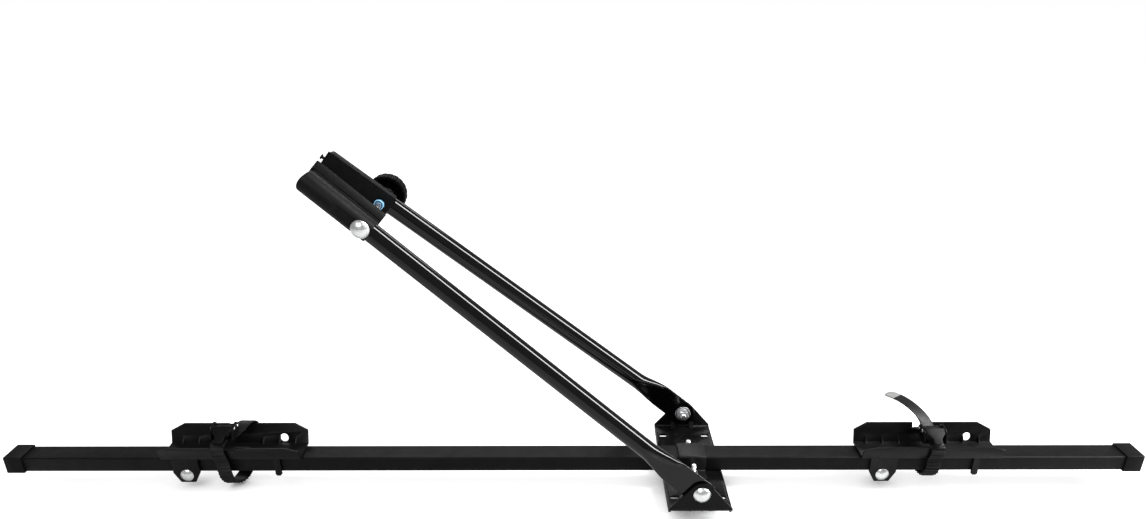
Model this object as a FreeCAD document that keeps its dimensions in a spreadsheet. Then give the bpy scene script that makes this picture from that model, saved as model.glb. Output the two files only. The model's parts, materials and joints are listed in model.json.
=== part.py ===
import FreeCAD, Part
import Sketcher
import math
import os
from types import SimpleNamespace

# Roof bike carrier: a rail across two roof bars, a folding pair of arms with a
# clamp for the bicycle's down tube, and two sliding wheel trays with straps.
# Frame: millimetres, +X along the rail, +Y across it, +Z up. The origin is the
# centre of the four slots in the base plate, on the plate's underside.

Vec = FreeCAD.Vector
doc = FreeCAD.newDocument("roof_bike_carrier")

# Driving dimensions

sizes = [
    ("rail_width", 30.0, "rail tube, across"),
    ("rail_height", 20.0, "rail tube, height"),
    ("rail_wall", 1.6, "rail tube, wall"),
    ("rail_corner", 2.0, "rail tube, outside corner radius"),
    ("rail_length", 1446.0, "rail tube, length"),
    ("rail_shift", -151.4, "middle of the rail from the base plate's middle"),
    ("cap_wall", 1.6, "end cap, wall"),
    ("cap_depth", 20.0, "end cap, length over the tube"),
    ("cap_end", 2.0, "end cap, end wall"),
    ("cap_fit", 0.05, "end cap, gap round the tube"),
    ("plate_width", 76.0, "base plate, along the rail"),
    ("plate_length", 200.0, "base plate over the ears, across the rail"),
    ("plate_thick", 3.0, "base plate, sheet thickness"),
    ("bend_radius", 3.0, "base plate, inside bend radius"),
    ("lip_drop", 3.0, "base plate, drop of the side lips below the sheet"),
    ("pivot_height", 25.5, "arm pivot above the plate's underside"),
    ("ear_radius", 15.2, "ear, radius round the pivot"),
    ("ear_foot", 4.6, "ear, height where the slopes start"),
    ("slot_spacing_x", 57.0, "base slots, spacing along the rail"),
    ("slot_spacing_y", 144.0, "base slots, spacing across the rail"),
    ("slot_length", 11.5, "base slots, length over the round ends"),
    ("slot_width", 6.5, "base slots, width"),
    ("dart_width", 5.5, "pressed dart in an ear's bend, width"),
    ("dart_leg", 7.2, "pressed dart, leg length"),
    ("dart_spacing", 25.2, "pressed darts, spacing"),
    ("saddle_width", 34.0, "saddle over the rail, width"),
    ("saddle_thick", 2.2, "saddle, sheet thickness"),
    ("saddle_reach", 36.0, "saddle, end of a foot from the rail's middle"),
    ("saddle_bolt_reach", 28.5, "saddle bolts from the rail's middle"),
    ("saddle_fit", 0.1, "saddle, gap round the rail"),
    ("small_bolt", 6.0, "small bolts, diameter"),
    ("small_head", 16.6, "small bolts, head diameter"),
    ("small_head_height", 3.3, "small bolts, head height"),
    ("stud_head", 9.4, "saddle studs, diameter of the head sunk in the plate"),
    ("stud_head_height", 1.5, "saddle studs, head height"),
    ("small_nut", 10.0, "small nuts, across flats"),
    ("small_nut_height", 5.2, "small nuts, height"),
    ("large_bolt", 8.0, "large bolts, diameter"),
    ("large_head", 20.4, "large bolts, head diameter"),
    ("large_head_height", 5.3, "large bolts, head height"),
    ("large_nut", 13.0, "large nuts, across flats"),
    ("large_nut_height", 6.8, "large nuts, height"),
    ("large_washer", 21.0, "large washers, diameter"),
    ("washer_thick", 1.6, "washers, thickness"),
    ("bolt_end", 3.5, "bolt end past its nut"),
    ("hole_gap", 0.25, "bolt holes, gap round the bolt"),
    ("turn_gap", 0.05, "gap round a bolt that a piece turns on"),
    ("seat_gap", 0.1, "gap under a bolt's head or nut"),
    ("arm_angle", 39.9, "arms above the horizontal as stored, degrees"),
    ("arm_tube", 22.0, "arm tube, diameter"),
    ("arm_wall", 1.5, "arm tube, wall"),
    ("arm_converge", 4.88, "arm tube towards the middle, degrees"),
    ("arm_past_bolt", 72.0, "arm tube past the clamp bolt"),
    ("flat_width", 33.0, "arm's pressed end, width"),
    ("flat_thick", 3.0, "arm's pressed end, thickness"),
    ("flat_length", 40.0, "arm's pressed end, from the pivot"),
    ("neck_length", 45.0, "arm's neck between flat and round"),
    ("arm_gap", 0.8, "arm's pressed end from the ear, room to rock"),
    ("rock_gap", 0.5, "arm's pressed end from the washer, room to rock"),
    ("clamp_reach", 491.2, "clamp bolt from the pivot"),
    ("clamp_hole", 9.6, "clamp bolt's hole in arms and jaws, room to rock"),
    ("jaw_foot", 11.0, "jaw below the clamp bolt"),
    ("jaw_rise", 76.0, "jaw above the clamp bolt"),
    ("pad_rise", 80.0, "pad above the clamp bolt"),
    ("sleeve_wall", 1.9, "jaw, wall round the arm tube"),
    ("facet_depth", 1.0, "jaw, flat under the bolt's head, depth in the sleeve"),
    ("facet_length", 42.0, "jaw, flat under the bolt's head, length"),
    ("jaw_depth", 24.0, "jaw, clamping edge from the tube's axis"),
    ("jaw_height", 36.0, "jaw, clamping face height"),
    ("face_hollow", 3.5, "jaw, hollow of the clamping face"),
    ("pad_depth", 8.0, "pad, thickness at its edge"),
    ("peg_in", 3.2, "back pad's peg, from the jaw towards the hollow"),
    ("peg_up", 6.0, "back pad's peg, above the arm's line"),
    ("peg_stem", 2.6, "back pad's peg, stem diameter"),
    ("peg_length", 3.4, "back pad's peg, length"),
    ("bush_diameter", 11.8, "bush in the back jaw, diameter"),
    ("bush_face", 4.6, "bush, face past the hollow of the pad"),
    ("knob_diameter", 47.0, "knob, diameter"),
    ("knob_height", 20.0, "knob, height"),
    ("knob_hub", 20.0, "knob, hub diameter"),
    ("knob_rim", 4.0, "knob, rim wall"),
    ("knob_hollow", 11.0, "knob, depth of the hollow behind the rim"),
    ("knob_flutes", 20, "knob, grip flutes"),
    ("flute_radius", 2.2, "knob, grip flute radius"),
    ("tray_length", 178.0, "tray, length"),
    ("tray_floor", 3.0, "tray, floor thickness"),
    ("tray_inside", 34.0, "tray, inside width at the floor"),
    ("tray_wall", 2.6, "tray, wall"),
    ("tray_flare", 0.34, "tray, walls' lean, outwards per unit of height"),
    ("tray_back", 23.7, "tray, back wall above the floor"),
    ("tray_front", 16.7, "tray, front wall above the floor"),
    ("tray_gap", 0.3, "tray, gap to the rail it slides on"),
    ("tray_left_x", -586.4, "left tray's middle"),
    ("tray_right_x", 302.6, "right tray's middle"),
    ("corner_run", 17.0, "tray, corner cut along the wall"),
    ("back_corner_drop", 8.5, "tray, back corner cut, height"),
    ("front_corner_drop", 5.5, "tray, front corner cut, height"),
    ("notch_width", 20.0, "tray, strap notch width"),
    ("notch_shift", -3.0, "tray, back strap notch from the middle"),
    ("back_notch", 9.0, "tray, back strap notch depth"),
    ("front_notch", 3.0, "tray, front strap notch depth"),
    ("lug_x", -59.4, "tray, lug bolt from the middle"),
    ("lug_width", 34.0, "tray, lug width at the rail"),
    ("lug_tip", 18.6, "tray, lug width at its tip"),
    ("lug_thick", 3.0, "tray, lug thickness"),
    ("lug_drop", 14.0, "tray, lug below the rail"),
    ("lug_bolt_drop", 3.6, "tray, bolt's middle below the rail"),
    ("tab_x", 58.0, "tray, clip tab and hole from the middle"),
    ("tab_width", 8.0, "tray, clip tab width"),
    ("tab_drop", 4.5, "tray, clip tab below the rail"),
    ("wall_hole", 10.8, "tray, hole in the back wall"),
    ("rib_thick", 2.0, "tray, gusset rib thickness"),
    ("rib_height", 8.0, "tray, gusset rib height"),
    ("rib_pitch", 21.0, "tray, gusset rib spacing"),
    ("strap_width", 17.5, "strap, width"),
    ("strap_thick", 2.0, "strap, thickness"),
    ("tooth_height", 1.0, "strap, tooth height"),
    ("tooth_pitch", 5.0, "strap, tooth spacing"),
    ("strap_gap", 0.6, "strap, gap to the tray"),
    ("right_loop_drop", 11.0, "right strap's loop below the rail"),
    ("left_loop_drop", 23.0, "left strap's loop below the rail"),
    ("buckle_width", 29.0, "buckle, width over the cheeks"),
    ("buckle_length", 25.0, "buckle, length"),
    ("cheek_thick", 2.2, "buckle, cheek thickness"),
    ("cheek_height", 15.0, "buckle, cheek above its floor"),
    ("buckle_floor", 1.6, "buckle, floor thickness"),
    ("buckle_pin", 4.0, "buckle, pin diameter"),
    ("lever_tip", 15.0, "buckle lever, width at its end"),
    ("hub_wall", 1.8, "buckle, lever's wall round its pin"),
    ("lever_length", 22.0, "buckle lever, from its pin"),
    ("lever_thick", 2.4, "buckle lever, plate thickness"),
    ("lever_gap", 0.3, "buckle lever, gap to each cheek"),
    ("lever_slope", 34.0, "buckle lever, slope as stored, degrees"),
]
sheet = doc.addObject("Spreadsheet::Sheet", "Sizes")
for row, (alias, value, note) in enumerate(sizes, start=1):
    sheet.set(f"A{row}", note)
    sheet.set(f"B{row}", str(value))
    sheet.setAlias(f"B{row}", alias)
doc.recompute()


class Size:
    # A length that carries its value and the sheet formula it comes from.
    def __init__(self, value, text):
        self.value = float(value)
        self.text = text

    def __add__(self, other):
        other = as_size(other)
        return Size(self.value + other.value, f"({self.text} + {other.text})")

    def __sub__(self, other):
        other = as_size(other)
        return Size(self.value - other.value, f"({self.text} - {other.text})")

    def __mul__(self, other):
        other = as_size(other)
        return Size(self.value * other.value, f"({self.text} * {other.text})")

    def __truediv__(self, other):
        other = as_size(other)
        return Size(self.value / other.value, f"({self.text} / {other.text})")

    def __neg__(self):
        return Size(-self.value, f"(0 - {self.text})")

    __radd__ = __add__

    def __rsub__(self, other):
        return as_size(other) - self

    __rmul__ = __mul__


def as_size(value):
    return value if isinstance(value, Size) else Size(value, repr(float(value)))


D = SimpleNamespace(**{alias: Size(sheet.get(alias), "Sizes." + alias)
                       for alias, value, note in sizes})

# Places that several pieces share

rail_base = D.plate_thick
rail_top = rail_base + D.rail_height
ear_inside = D.plate_length / 2 - D.plate_thick
arm_pivot_y = ear_inside - D.arm_gap - D.flat_thick / 2
washer_face = arm_pivot_y - D.flat_thick / 2 - D.rock_gap
pivot_nut_face = washer_face - D.washer_thick - D.seat_gap
floor_base = rail_top + D.tray_gap
floor_top = floor_base + D.tray_floor
lug_inside = D.rail_width / 2 + D.tray_gap
lug_outside = lug_inside + D.lug_thick
lug_bolt_z = rail_base - D.lug_bolt_drop
parts = []


# Helpers

def bind(thing, prop, value):
    # Sets a property, through the sheet when the value comes from it.
    value = as_size(value)
    thing.setExpression(prop, value.text)


def place(thing, x=0, y=0, z=0, axis=(0, 0, 1), angle=0):
    angle = as_size(angle)
    base = [as_size(value) for value in (x, y, z)]
    turn = FreeCAD.Rotation(Vec(*axis), angle.value)
    thing.Placement = FreeCAD.Placement(Vec(*[value.value for value in base]), turn)
    for letter, value in zip("xyz", base):
        if "Sizes" in value.text:
            bind(thing, "Placement.Base." + letter, value)
    if "Sizes" in angle.text:
        thing.setExpression("Placement.Rotation.Angle", angle.text + " * 1 deg")


def on_arms(thing):
    # The arm pieces are drawn with the arms lying along -X and the pivot
    # axis on Y, then turned up about the pivot.
    place(thing, z=D.pivot_height, axis=(0, 1, 0), angle=D.arm_angle)


def finish(thing, label):
    thing.Label = label
    parts.append(thing)
    return thing


def solid(kind, name, x=0, y=0, z=0, axis=(0, 0, 1), angle=0, **values):
    # A Part primitive with its sizes and place from the sheet.
    thing = doc.addObject(kind, name)
    for prop, value in values.items():
        if isinstance(value, Size):
            bind(thing, prop, value)
        else:
            setattr(thing, prop, value)
    place(thing, x, y, z, axis, angle)
    return thing


def boolean(kind, name, first, *others):
    thing = doc.addObject(kind, name)
    if kind == "Part::Cut":
        thing.Base = first
        thing.Tool = others[0]
    else:
        thing.Shapes = [first, *others]
    return thing


def shaped(label, shape, placing=None):
    # A piece whose shape is worked out here from the sheet's values.
    thing = doc.addObject("Part::Feature", label)
    thing.Shape = shape
    if placing:
        placing(thing)
    return finish(thing, label)


def new_body(label):
    body = doc.addObject("PartDesign::Body", label)
    return finish(body, label)


def sketch_on(body, name, role, offset=(0, 0, 0)):
    plane = [item for item in body.Origin.OriginFeatures if item.Role == role][0]
    sketch = body.newObject("Sketcher::SketchObject", name)
    sketch.AttachmentSupport = (plane, "")
    sketch.MapMode = "FlatFace"
    shift = [as_size(value) for value in offset]
    sketch.AttachmentOffset = FreeCAD.Placement(Vec(*[value.value for value in shift]),
                                                FreeCAD.Rotation())
    for letter, value in zip("xyz", shift):
        if "Sizes" in value.text:
            bind(sketch, "AttachmentOffset.Base." + letter, value)
    return sketch


def hold(sketch, kind, *where, value):
    # A dimension on the sketch, bound to the sheet.
    value = as_size(value)
    index = sketch.addConstraint(Sketcher.Constraint(kind, *where, value.value))
    sketch.setExpression(f"Constraints[{index}]", value.text)


def hold_point(sketch, geometry, point, x, y):
    for kind, axis, value in (("DistanceX", -2, as_size(x)), ("DistanceY", -1, as_size(y))):
        if value.text in ("0.0", "(0 - 0.0)"):
            sketch.addConstraint(Sketcher.Constraint("PointOnObject", geometry, point, axis))
        else:
            hold(sketch, kind, -1, 1, geometry, point, value=value)


def polygon(sketch, corners):
    first = sketch.GeometryCount
    corners = [(as_size(x), as_size(y)) for x, y in corners]
    count = len(corners)
    points = [Vec(x.value, y.value, 0) for x, y in corners]
    for index in range(count):
        sketch.addGeometry(Part.LineSegment(points[index], points[(index + 1) % count]), False)
    for index in range(count):
        after = first + (index + 1) % count
        sketch.addConstraint(Sketcher.Constraint("Coincident", first + index, 2, after, 1))
    for index, (x, y) in enumerate(corners):
        hold_point(sketch, first + index, 1, x, y)


def circle(sketch, x, y, radius):
    x, y, radius = as_size(x), as_size(y), as_size(radius)
    shape = Part.Circle(Vec(x.value, y.value, 0), Vec(0, 0, 1), radius.value)
    index = sketch.addGeometry(shape, False)
    hold_point(sketch, index, 3, x, y)
    hold(sketch, "Radius", index, value=radius)


def slot(sketch, x, y, length, width):
    # A round-ended slot that runs along the sketch's first axis.
    x, y = as_size(x), as_size(y)
    reach = length / 2 - width / 2
    radius = width / 2
    ends = []
    for side, start in ((1, -math.pi / 2), (-1, math.pi / 2)):
        centre = x + reach * side
        ring = Part.Circle(Vec(centre.value, y.value, 0), Vec(0, 0, 1), radius.value)
        index = sketch.addGeometry(Part.ArcOfCircle(ring, start, start + math.pi), False)
        hold_point(sketch, index, 3, centre, y)
        ends.append(index)
    right, left = ends
    level = radius.value
    top = sketch.addGeometry(Part.LineSegment(
        Vec((x + reach).value, y.value + level, 0), Vec((x - reach).value, y.value + level, 0)), False)
    base = sketch.addGeometry(Part.LineSegment(
        Vec((x - reach).value, y.value - level, 0), Vec((x + reach).value, y.value - level, 0)), False)
    for one, one_end, two, two_end in ((right, 2, top, 1), (top, 2, left, 1),
                                       (left, 2, base, 1), (base, 2, right, 1)):
        sketch.addConstraint(Sketcher.Constraint("Tangent", one, one_end, two, two_end))
    hold(sketch, "Radius", right, value=radius)


def pad(body, sketch, name, length, both_ways=False):
    feature = body.newObject("PartDesign::Pad", name)
    feature.Profile = sketch
    bind(feature, "Length", length)
    feature.Midplane = both_ways
    sketch.Visibility = False
    return feature


def pocket(body, sketch, name, length=None, both_ways=False, reverse=False):
    feature = body.newObject("PartDesign::Pocket", name)
    feature.Profile = sketch
    if length is None:
        feature.Type = "ThroughAll"
    else:
        bind(feature, "Length", length)
    feature.Midplane = both_ways
    feature.Reversed = reverse
    return feature


def edges_where(feature, test):
    # Names of the feature's edges whose two ends both pass the test.
    names = []
    for index, edge in enumerate(feature.Shape.Edges, start=1):
        ends = [vertex.Point for vertex in edge.Vertexes]
        if len(ends) == 2 and all(test(point) for point in ends) and test(edge.CenterOfMass):
            names.append(f"Edge{index}")
    return names


def round_edges(body, feature, name, test, radius):
    doc.recompute()
    fillet = body.newObject("PartDesign::Fillet", name)
    fillet.Base = (feature, edges_where(feature, test))
    bind(fillet, "Radius", radius)
    return fillet


def near(value, target, room=0.01):
    return abs(value - as_size(target).value) < room


# Rail and its end caps

def make_rail():
    body = new_body("rail")
    outer = sketch_on(body, "rail_section", "YZ_Plane")
    half = D.rail_width / 2
    polygon(outer, [(-half, 0), (half, 0), (half, D.rail_height), (-half, D.rail_height)])
    bar = pad(body, outer, "rail_bar", D.rail_length, both_ways=True)
    round_long_edges(body, bar, "rail_corners", D.rail_corner)
    inner = sketch_on(body, "rail_bore", "YZ_Plane")
    inside = half - D.rail_wall
    polygon(inner, [(-inside, D.rail_wall), (inside, D.rail_wall),
                    (inside, D.rail_height - D.rail_wall), (-inside, D.rail_height - D.rail_wall)])
    pocket(body, inner, "rail_hollow", D.rail_length + 2, both_ways=True)
    place(body, x=D.rail_shift, z=rail_base)


def round_long_edges(body, feature, name, radius):
    # Rounds the edges that run the whole length along X.
    doc.recompute()
    length = feature.Shape.BoundBox.XLength
    names = [f"Edge{index}" for index, edge in enumerate(feature.Shape.Edges, start=1)
             if near(edge.BoundBox.XLength, length) and near(edge.Length, length)]
    fillet = body.newObject("PartDesign::Fillet", name)
    fillet.Base = (feature, names)
    bind(fillet, "Radius", radius)


def make_cap(label, side):
    body = new_body(label)
    outer = sketch_on(body, label + "_outside", "YZ_Plane")
    half = D.rail_width / 2 + D.cap_fit + D.cap_wall
    low = -D.cap_fit - D.cap_wall
    high = D.rail_height + D.cap_fit + D.cap_wall
    polygon(outer, [(-half, low), (half, low), (half, high), (-half, high)])
    block = pad(body, outer, label + "_block", D.cap_depth + D.cap_end)
    round_long_edges(body, block, label + "_corners", D.cap_wall)
    inner = sketch_on(body, label + "_socket_outline", "YZ_Plane", (0, 0, D.cap_depth))
    inside = D.rail_width / 2 + D.cap_fit
    polygon(inner, [(-inside, -D.cap_fit), (inside, -D.cap_fit),
                    (inside, D.rail_height + D.cap_fit), (-inside, D.rail_height + D.cap_fit)])
    pocket(body, inner, label + "_socket", D.cap_depth)
    end = D.rail_length / 2 - D.cap_depth
    if side > 0:
        place(body, x=D.rail_shift + end, z=rail_base)
    else:
        place(body, x=D.rail_shift - end, z=rail_base, angle=180)


# Base plate: one pressed sheet with an ear at each end

def make_base_plate():
    body = new_body("base_plate")
    section = sketch_on(body, "plate_section", "YZ_Plane")
    half = D.plate_length / 2
    ear_top = D.pivot_height + D.ear_radius
    polygon(section, [(-half, 0), (half, 0), (half, ear_top), (ear_inside, ear_top),
                      (ear_inside, D.plate_thick), (-ear_inside, D.plate_thick),
                      (-ear_inside, ear_top), (-half, ear_top)])
    channel = pad(body, section, "plate_channel", D.plate_width, both_ways=True)
    outer = round_edges(body, channel, "outer_bends",
                        lambda p: near(abs(p.y), half) and near(p.z, 0), D.bend_radius + D.plate_thick)
    round_edges(body, outer, "inner_bends",
                lambda p: near(abs(p.y), ear_inside) and near(p.z, D.plate_thick), D.bend_radius)
    outline = sketch_on(body, "ear_outline", "XZ_Plane")
    trim_to_ear(outline, ear_top)
    doc.recompute()
    pocket(body, outline, "ear_trim", D.plate_length + 2, both_ways=True)
    lips = sketch_on(body, "lip_outline", "XZ_Plane")
    edge = D.plate_width / 2
    for side in (-1, 1):
        polygon(lips, [(edge * side, -D.lip_drop), (edge * side, D.plate_thick / 2),
                       ((edge - D.plate_thick) * side, D.plate_thick / 2),
                       ((edge - D.plate_thick) * side, -D.lip_drop)])
    lip_run = D.plate_length - 2 * (D.bend_radius + D.plate_thick)
    pad(body, lips, "side_lips", lip_run, both_ways=True)
    holes = sketch_on(body, "slot_outline", "XY_Plane")
    for x_side in (-1, 1):
        for y_side in (-1, 1):
            slot(holes, D.slot_spacing_x / 2 * x_side, D.slot_spacing_y / 2 * y_side,
                 D.slot_length, D.slot_width)
    pocket(body, holes, "bar_slots", D.plate_thick * 4, both_ways=True)
    bolts = sketch_on(body, "saddle_holes_outline", "XY_Plane")
    for side in (-1, 1):
        circle(bolts, 0, D.saddle_bolt_reach * side, D.small_bolt / 2 + D.hole_gap)
    pocket(body, bolts, "saddle_holes", D.plate_thick * 4, both_ways=True)
    sinks = sketch_on(body, "stud_sinks_outline", "XY_Plane")
    for side in (-1, 1):
        circle(sinks, 0, D.saddle_bolt_reach * side, D.stud_head / 2 + D.seat_gap)
    pocket(body, sinks, "stud_sinks", (D.stud_head_height + D.seat_gap) * 2, both_ways=True)
    pivots = sketch_on(body, "pivot_holes_outline", "XZ_Plane")
    circle(pivots, 0, D.pivot_height, D.large_bolt / 2 + D.hole_gap)
    pocket(body, pivots, "pivot_holes", D.plate_length + 2, both_ways=True)
    for index, (x_side, y_side) in enumerate(((-1, -1), (1, -1), (-1, 1), (1, 1))):
        dart = sketch_on(body, f"dart_outline_{index}", "YZ_Plane",
                         (0, 0, D.dart_spacing / 2 * x_side))
        corner = (ear_inside + D.plate_thick / 2) * y_side
        toe = (ear_inside - D.dart_leg) * y_side
        polygon(dart, [(corner, D.plate_thick / 2), (toe, D.plate_thick / 2),
                       (toe, D.plate_thick), (ear_inside * y_side, D.plate_thick + D.dart_leg),
                       (corner, D.plate_thick + D.dart_leg)])
        pad(body, dart, f"dart_{index}", D.dart_width, both_ways=True)


def trim_to_ear(sketch, top):
    # The region outside the ear: two slopes that run tangent to the round
    # top, closed above by a frame that clears the sheet.
    edge = D.plate_width / 2
    foot = D.ear_foot
    centre = Vec(0, D.pivot_height.value, 0)
    radius = D.ear_radius.value
    corner = Vec(edge.value, foot.value, 0)
    away = corner - centre
    reach = away.Length
    turn = math.acos(radius / reach)
    lean = math.atan2(away.y, away.x)
    touch_angle = lean + turn
    touch = centre + Vec(math.cos(touch_angle), math.sin(touch_angle), 0) * radius
    ring = Part.Circle(centre, Vec(0, 0, 1), radius)
    mirror = Vec(-touch.x, touch.y, 0)
    arc = sketch.addGeometry(Part.ArcOfCircle(ring, touch_angle, math.pi - touch_angle), False)
    right = sketch.addGeometry(Part.LineSegment(corner, touch), False)
    left = sketch.addGeometry(Part.LineSegment(mirror, Vec(-corner.x, corner.y, 0)), False)
    beyond = edge + 1
    above = top + 1
    frame = [(-edge, foot), (-beyond, foot), (-beyond, above), (beyond, above), (beyond, foot),
             (edge, foot)]
    points = [Vec(as_size(x).value, as_size(y).value, 0) for x, y in frame]
    lines = [sketch.addGeometry(Part.LineSegment(start, end), False)
             for start, end in zip(points, points[1:])]
    sketch.addConstraint(Sketcher.Constraint("Tangent", right, 2, arc, 1))
    sketch.addConstraint(Sketcher.Constraint("Tangent", arc, 2, left, 1))
    sketch.addConstraint(Sketcher.Constraint("Coincident", left, 2, lines[0], 1))
    for one, two in zip(lines, lines[1:]):
        sketch.addConstraint(Sketcher.Constraint("Coincident", one, 2, two, 1))
    sketch.addConstraint(Sketcher.Constraint("Coincident", lines[-1], 2, right, 1))
    hold_point(sketch, arc, 3, 0, D.pivot_height)
    hold(sketch, "Radius", arc, value=D.ear_radius)
    for line, (x, y) in zip(lines, frame):
        hold_point(sketch, line, 1, x, y)
    hold_point(sketch, right, 1, edge, foot)


# Saddle that holds the rail down on the plate

def make_saddle():
    body = new_body("rail_saddle")
    section = sketch_on(body, "saddle_section", "YZ_Plane")
    inside = D.rail_width / 2 + D.saddle_fit
    outside = inside + D.saddle_thick
    under = rail_top + D.saddle_fit
    over = under + D.saddle_thick
    foot = D.plate_thick + D.saddle_thick
    reach = D.saddle_reach
    polygon(section, [(-reach, D.plate_thick), (-inside, D.plate_thick), (-inside, under),
                      (inside, under), (inside, D.plate_thick), (reach, D.plate_thick),
                      (reach, foot), (outside, foot), (outside, over), (-outside, over),
                      (-outside, foot), (-reach, foot)])
    strap = pad(body, section, "saddle_strap", D.saddle_width, both_ways=True)
    top = round_edges(body, strap, "saddle_shoulders",
                      lambda p: near(abs(p.y), outside) and near(p.z, over), D.saddle_thick)
    round_edges(body, top, "saddle_foot_bends",
                lambda p: near(abs(p.y), outside) and near(p.z, foot), D.saddle_thick / 2)
    holes = sketch_on(body, "foot_holes_outline", "XY_Plane")
    for side in (-1, 1):
        circle(holes, 0, D.saddle_bolt_reach * side, D.small_bolt / 2 + D.hole_gap)
    pocket(body, holes, "foot_holes", D.plate_thick * 6, both_ways=True)


# Fasteners

def domed_head(name, head, height, **where):
    # A slice of a sphere as wide as the head, with its flat side at the
    # height radius - height above the sphere's middle.
    radius = (head * head / 4 + height * height) / (height * 2)
    share = 1 - height.value / radius.value
    angle = Size(math.degrees(math.asin(share)), f"asin(1 - {height.text} / {radius.text})")
    return solid("Part::Sphere", name, Radius=radius, Angle1=angle, **where), radius - height


def carriage_bolt(label, diameter, length, head, head_height):
    # Drawn head up at the origin, with the shank down along -Z.
    shank = solid("Part::Cylinder", label + "_shank", z=-length,
                  Radius=diameter / 2, Height=length + head_height / 4)
    dome, drop = domed_head(label + "_dome", head, head_height)
    place(dome, z=-drop)
    return finish(boolean("Part::MultiFuse", label, dome, shank), label)


def sunk_stud(label, diameter, length, head, head_height):
    # Drawn from the underside of its flat head, upwards.
    shank = solid("Part::Cylinder", label + "_shank", Radius=diameter / 2, Height=length)
    disc = solid("Part::Cylinder", label + "_disc", Radius=head / 2, Height=head_height)
    return finish(boolean("Part::MultiFuse", label, disc, shank), label)


def hex_nut(label, across, height, diameter):
    # Drawn on the XY plane, upwards.
    block = solid("Part::Prism", label + "_block", Polygon=6,
                  Circumradius=across / math.sqrt(3), Height=height)
    bore = solid("Part::Cylinder", label + "_bore", z=-1, Radius=diameter / 2, Height=height + 2)
    return finish(boolean("Part::Cut", label, block, bore), label)


def washer(label, outside, bore, height, y=0, x=0):
    # Drawn across the Y axis, from y towards +Y.
    disc = solid("Part::Cylinder", label + "_disc", x=x, y=y + height, axis=(1, 0, 0), angle=90,
                 Radius=outside / 2, Height=height)
    hole = solid("Part::Cylinder", label + "_hole", x=x, y=y + height + 1, axis=(1, 0, 0), angle=90,
                 Radius=bore / 2, Height=height + 2)
    return finish(boolean("Part::Cut", label, disc, hole), label)


def make_saddle_fasteners():
    stack = D.plate_thick + D.saddle_thick + D.seat_gap + D.small_nut_height + D.bolt_end * 3
    for end, side in (("front", -1), ("back", 1)):
        bolt = sunk_stud("saddle_bolt_" + end, D.small_bolt, stack - D.seat_gap, D.stud_head,
                         D.stud_head_height)
        place(bolt, y=D.saddle_bolt_reach * side, z=D.seat_gap / 2)
        nut = hex_nut("saddle_nut_" + end, D.small_nut, D.small_nut_height, D.small_bolt)
        place(nut, y=D.saddle_bolt_reach * side,
              z=D.plate_thick + D.saddle_thick + D.seat_gap, angle=15)


def make_pivot_fasteners():
    length = D.plate_length / 2 + D.seat_gap - pivot_nut_face + D.large_nut_height + D.bolt_end
    for end, side in (("front", -1), ("back", 1)):
        turn = 90 if side < 0 else -90
        bolt = carriage_bolt("pivot_bolt_" + end, D.large_bolt, length, D.large_head,
                             D.large_head_height)
        place(bolt, y=(D.plate_length / 2 + D.seat_gap) * side, z=D.pivot_height,
              axis=(1, 0, 0), angle=turn)
        nut = hex_nut("pivot_nut_" + end, D.large_nut, D.large_nut_height, D.large_bolt)
        place(nut, y=pivot_nut_face * side, z=D.pivot_height, axis=(1, 0, 0), angle=-turn)
        bore = D.large_bolt + D.turn_gap * 2
        start = washer_face - D.washer_thick if side > 0 else -washer_face
        on_arms(washer("pivot_washer_" + end, D.large_washer, bore, D.washer_thick, y=start))


# Arms: round tube with its lower end pressed flat

def v(size):
    return as_size(size).value


def arm_frame(side):
    # From the arm's own line, which runs along -X, to the lying arms.
    turn = FreeCAD.Rotation(Vec(0, 0, 1), side * v(D.arm_converge))
    return FreeCAD.Placement(Vec(0, side * v(arm_pivot_y), 0), turn)


def clamp_distance():
    return v(D.clamp_reach) / math.cos(math.radians(v(D.arm_converge)))


def neck_section(along, side_shift, half_width, half_thick, squareness):
    # A closed curve across X: a circle for squareness 2, a flat bar for more.
    points = []
    for step in range(24):
        angle = 2 * math.pi * step / 24
        across, up = math.cos(angle), math.sin(angle)
        across = math.copysign(abs(across) ** (2 / squareness), across)
        up = math.copysign(abs(up) ** (2 / squareness), up)
        points.append(Vec(-along, side_shift + across * half_thick, up * half_width))
    curve = Part.BSplineCurve()
    curve.interpolate(Points=points, PeriodicFlag=True)
    return Part.Wire(curve.toShape())


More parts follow.
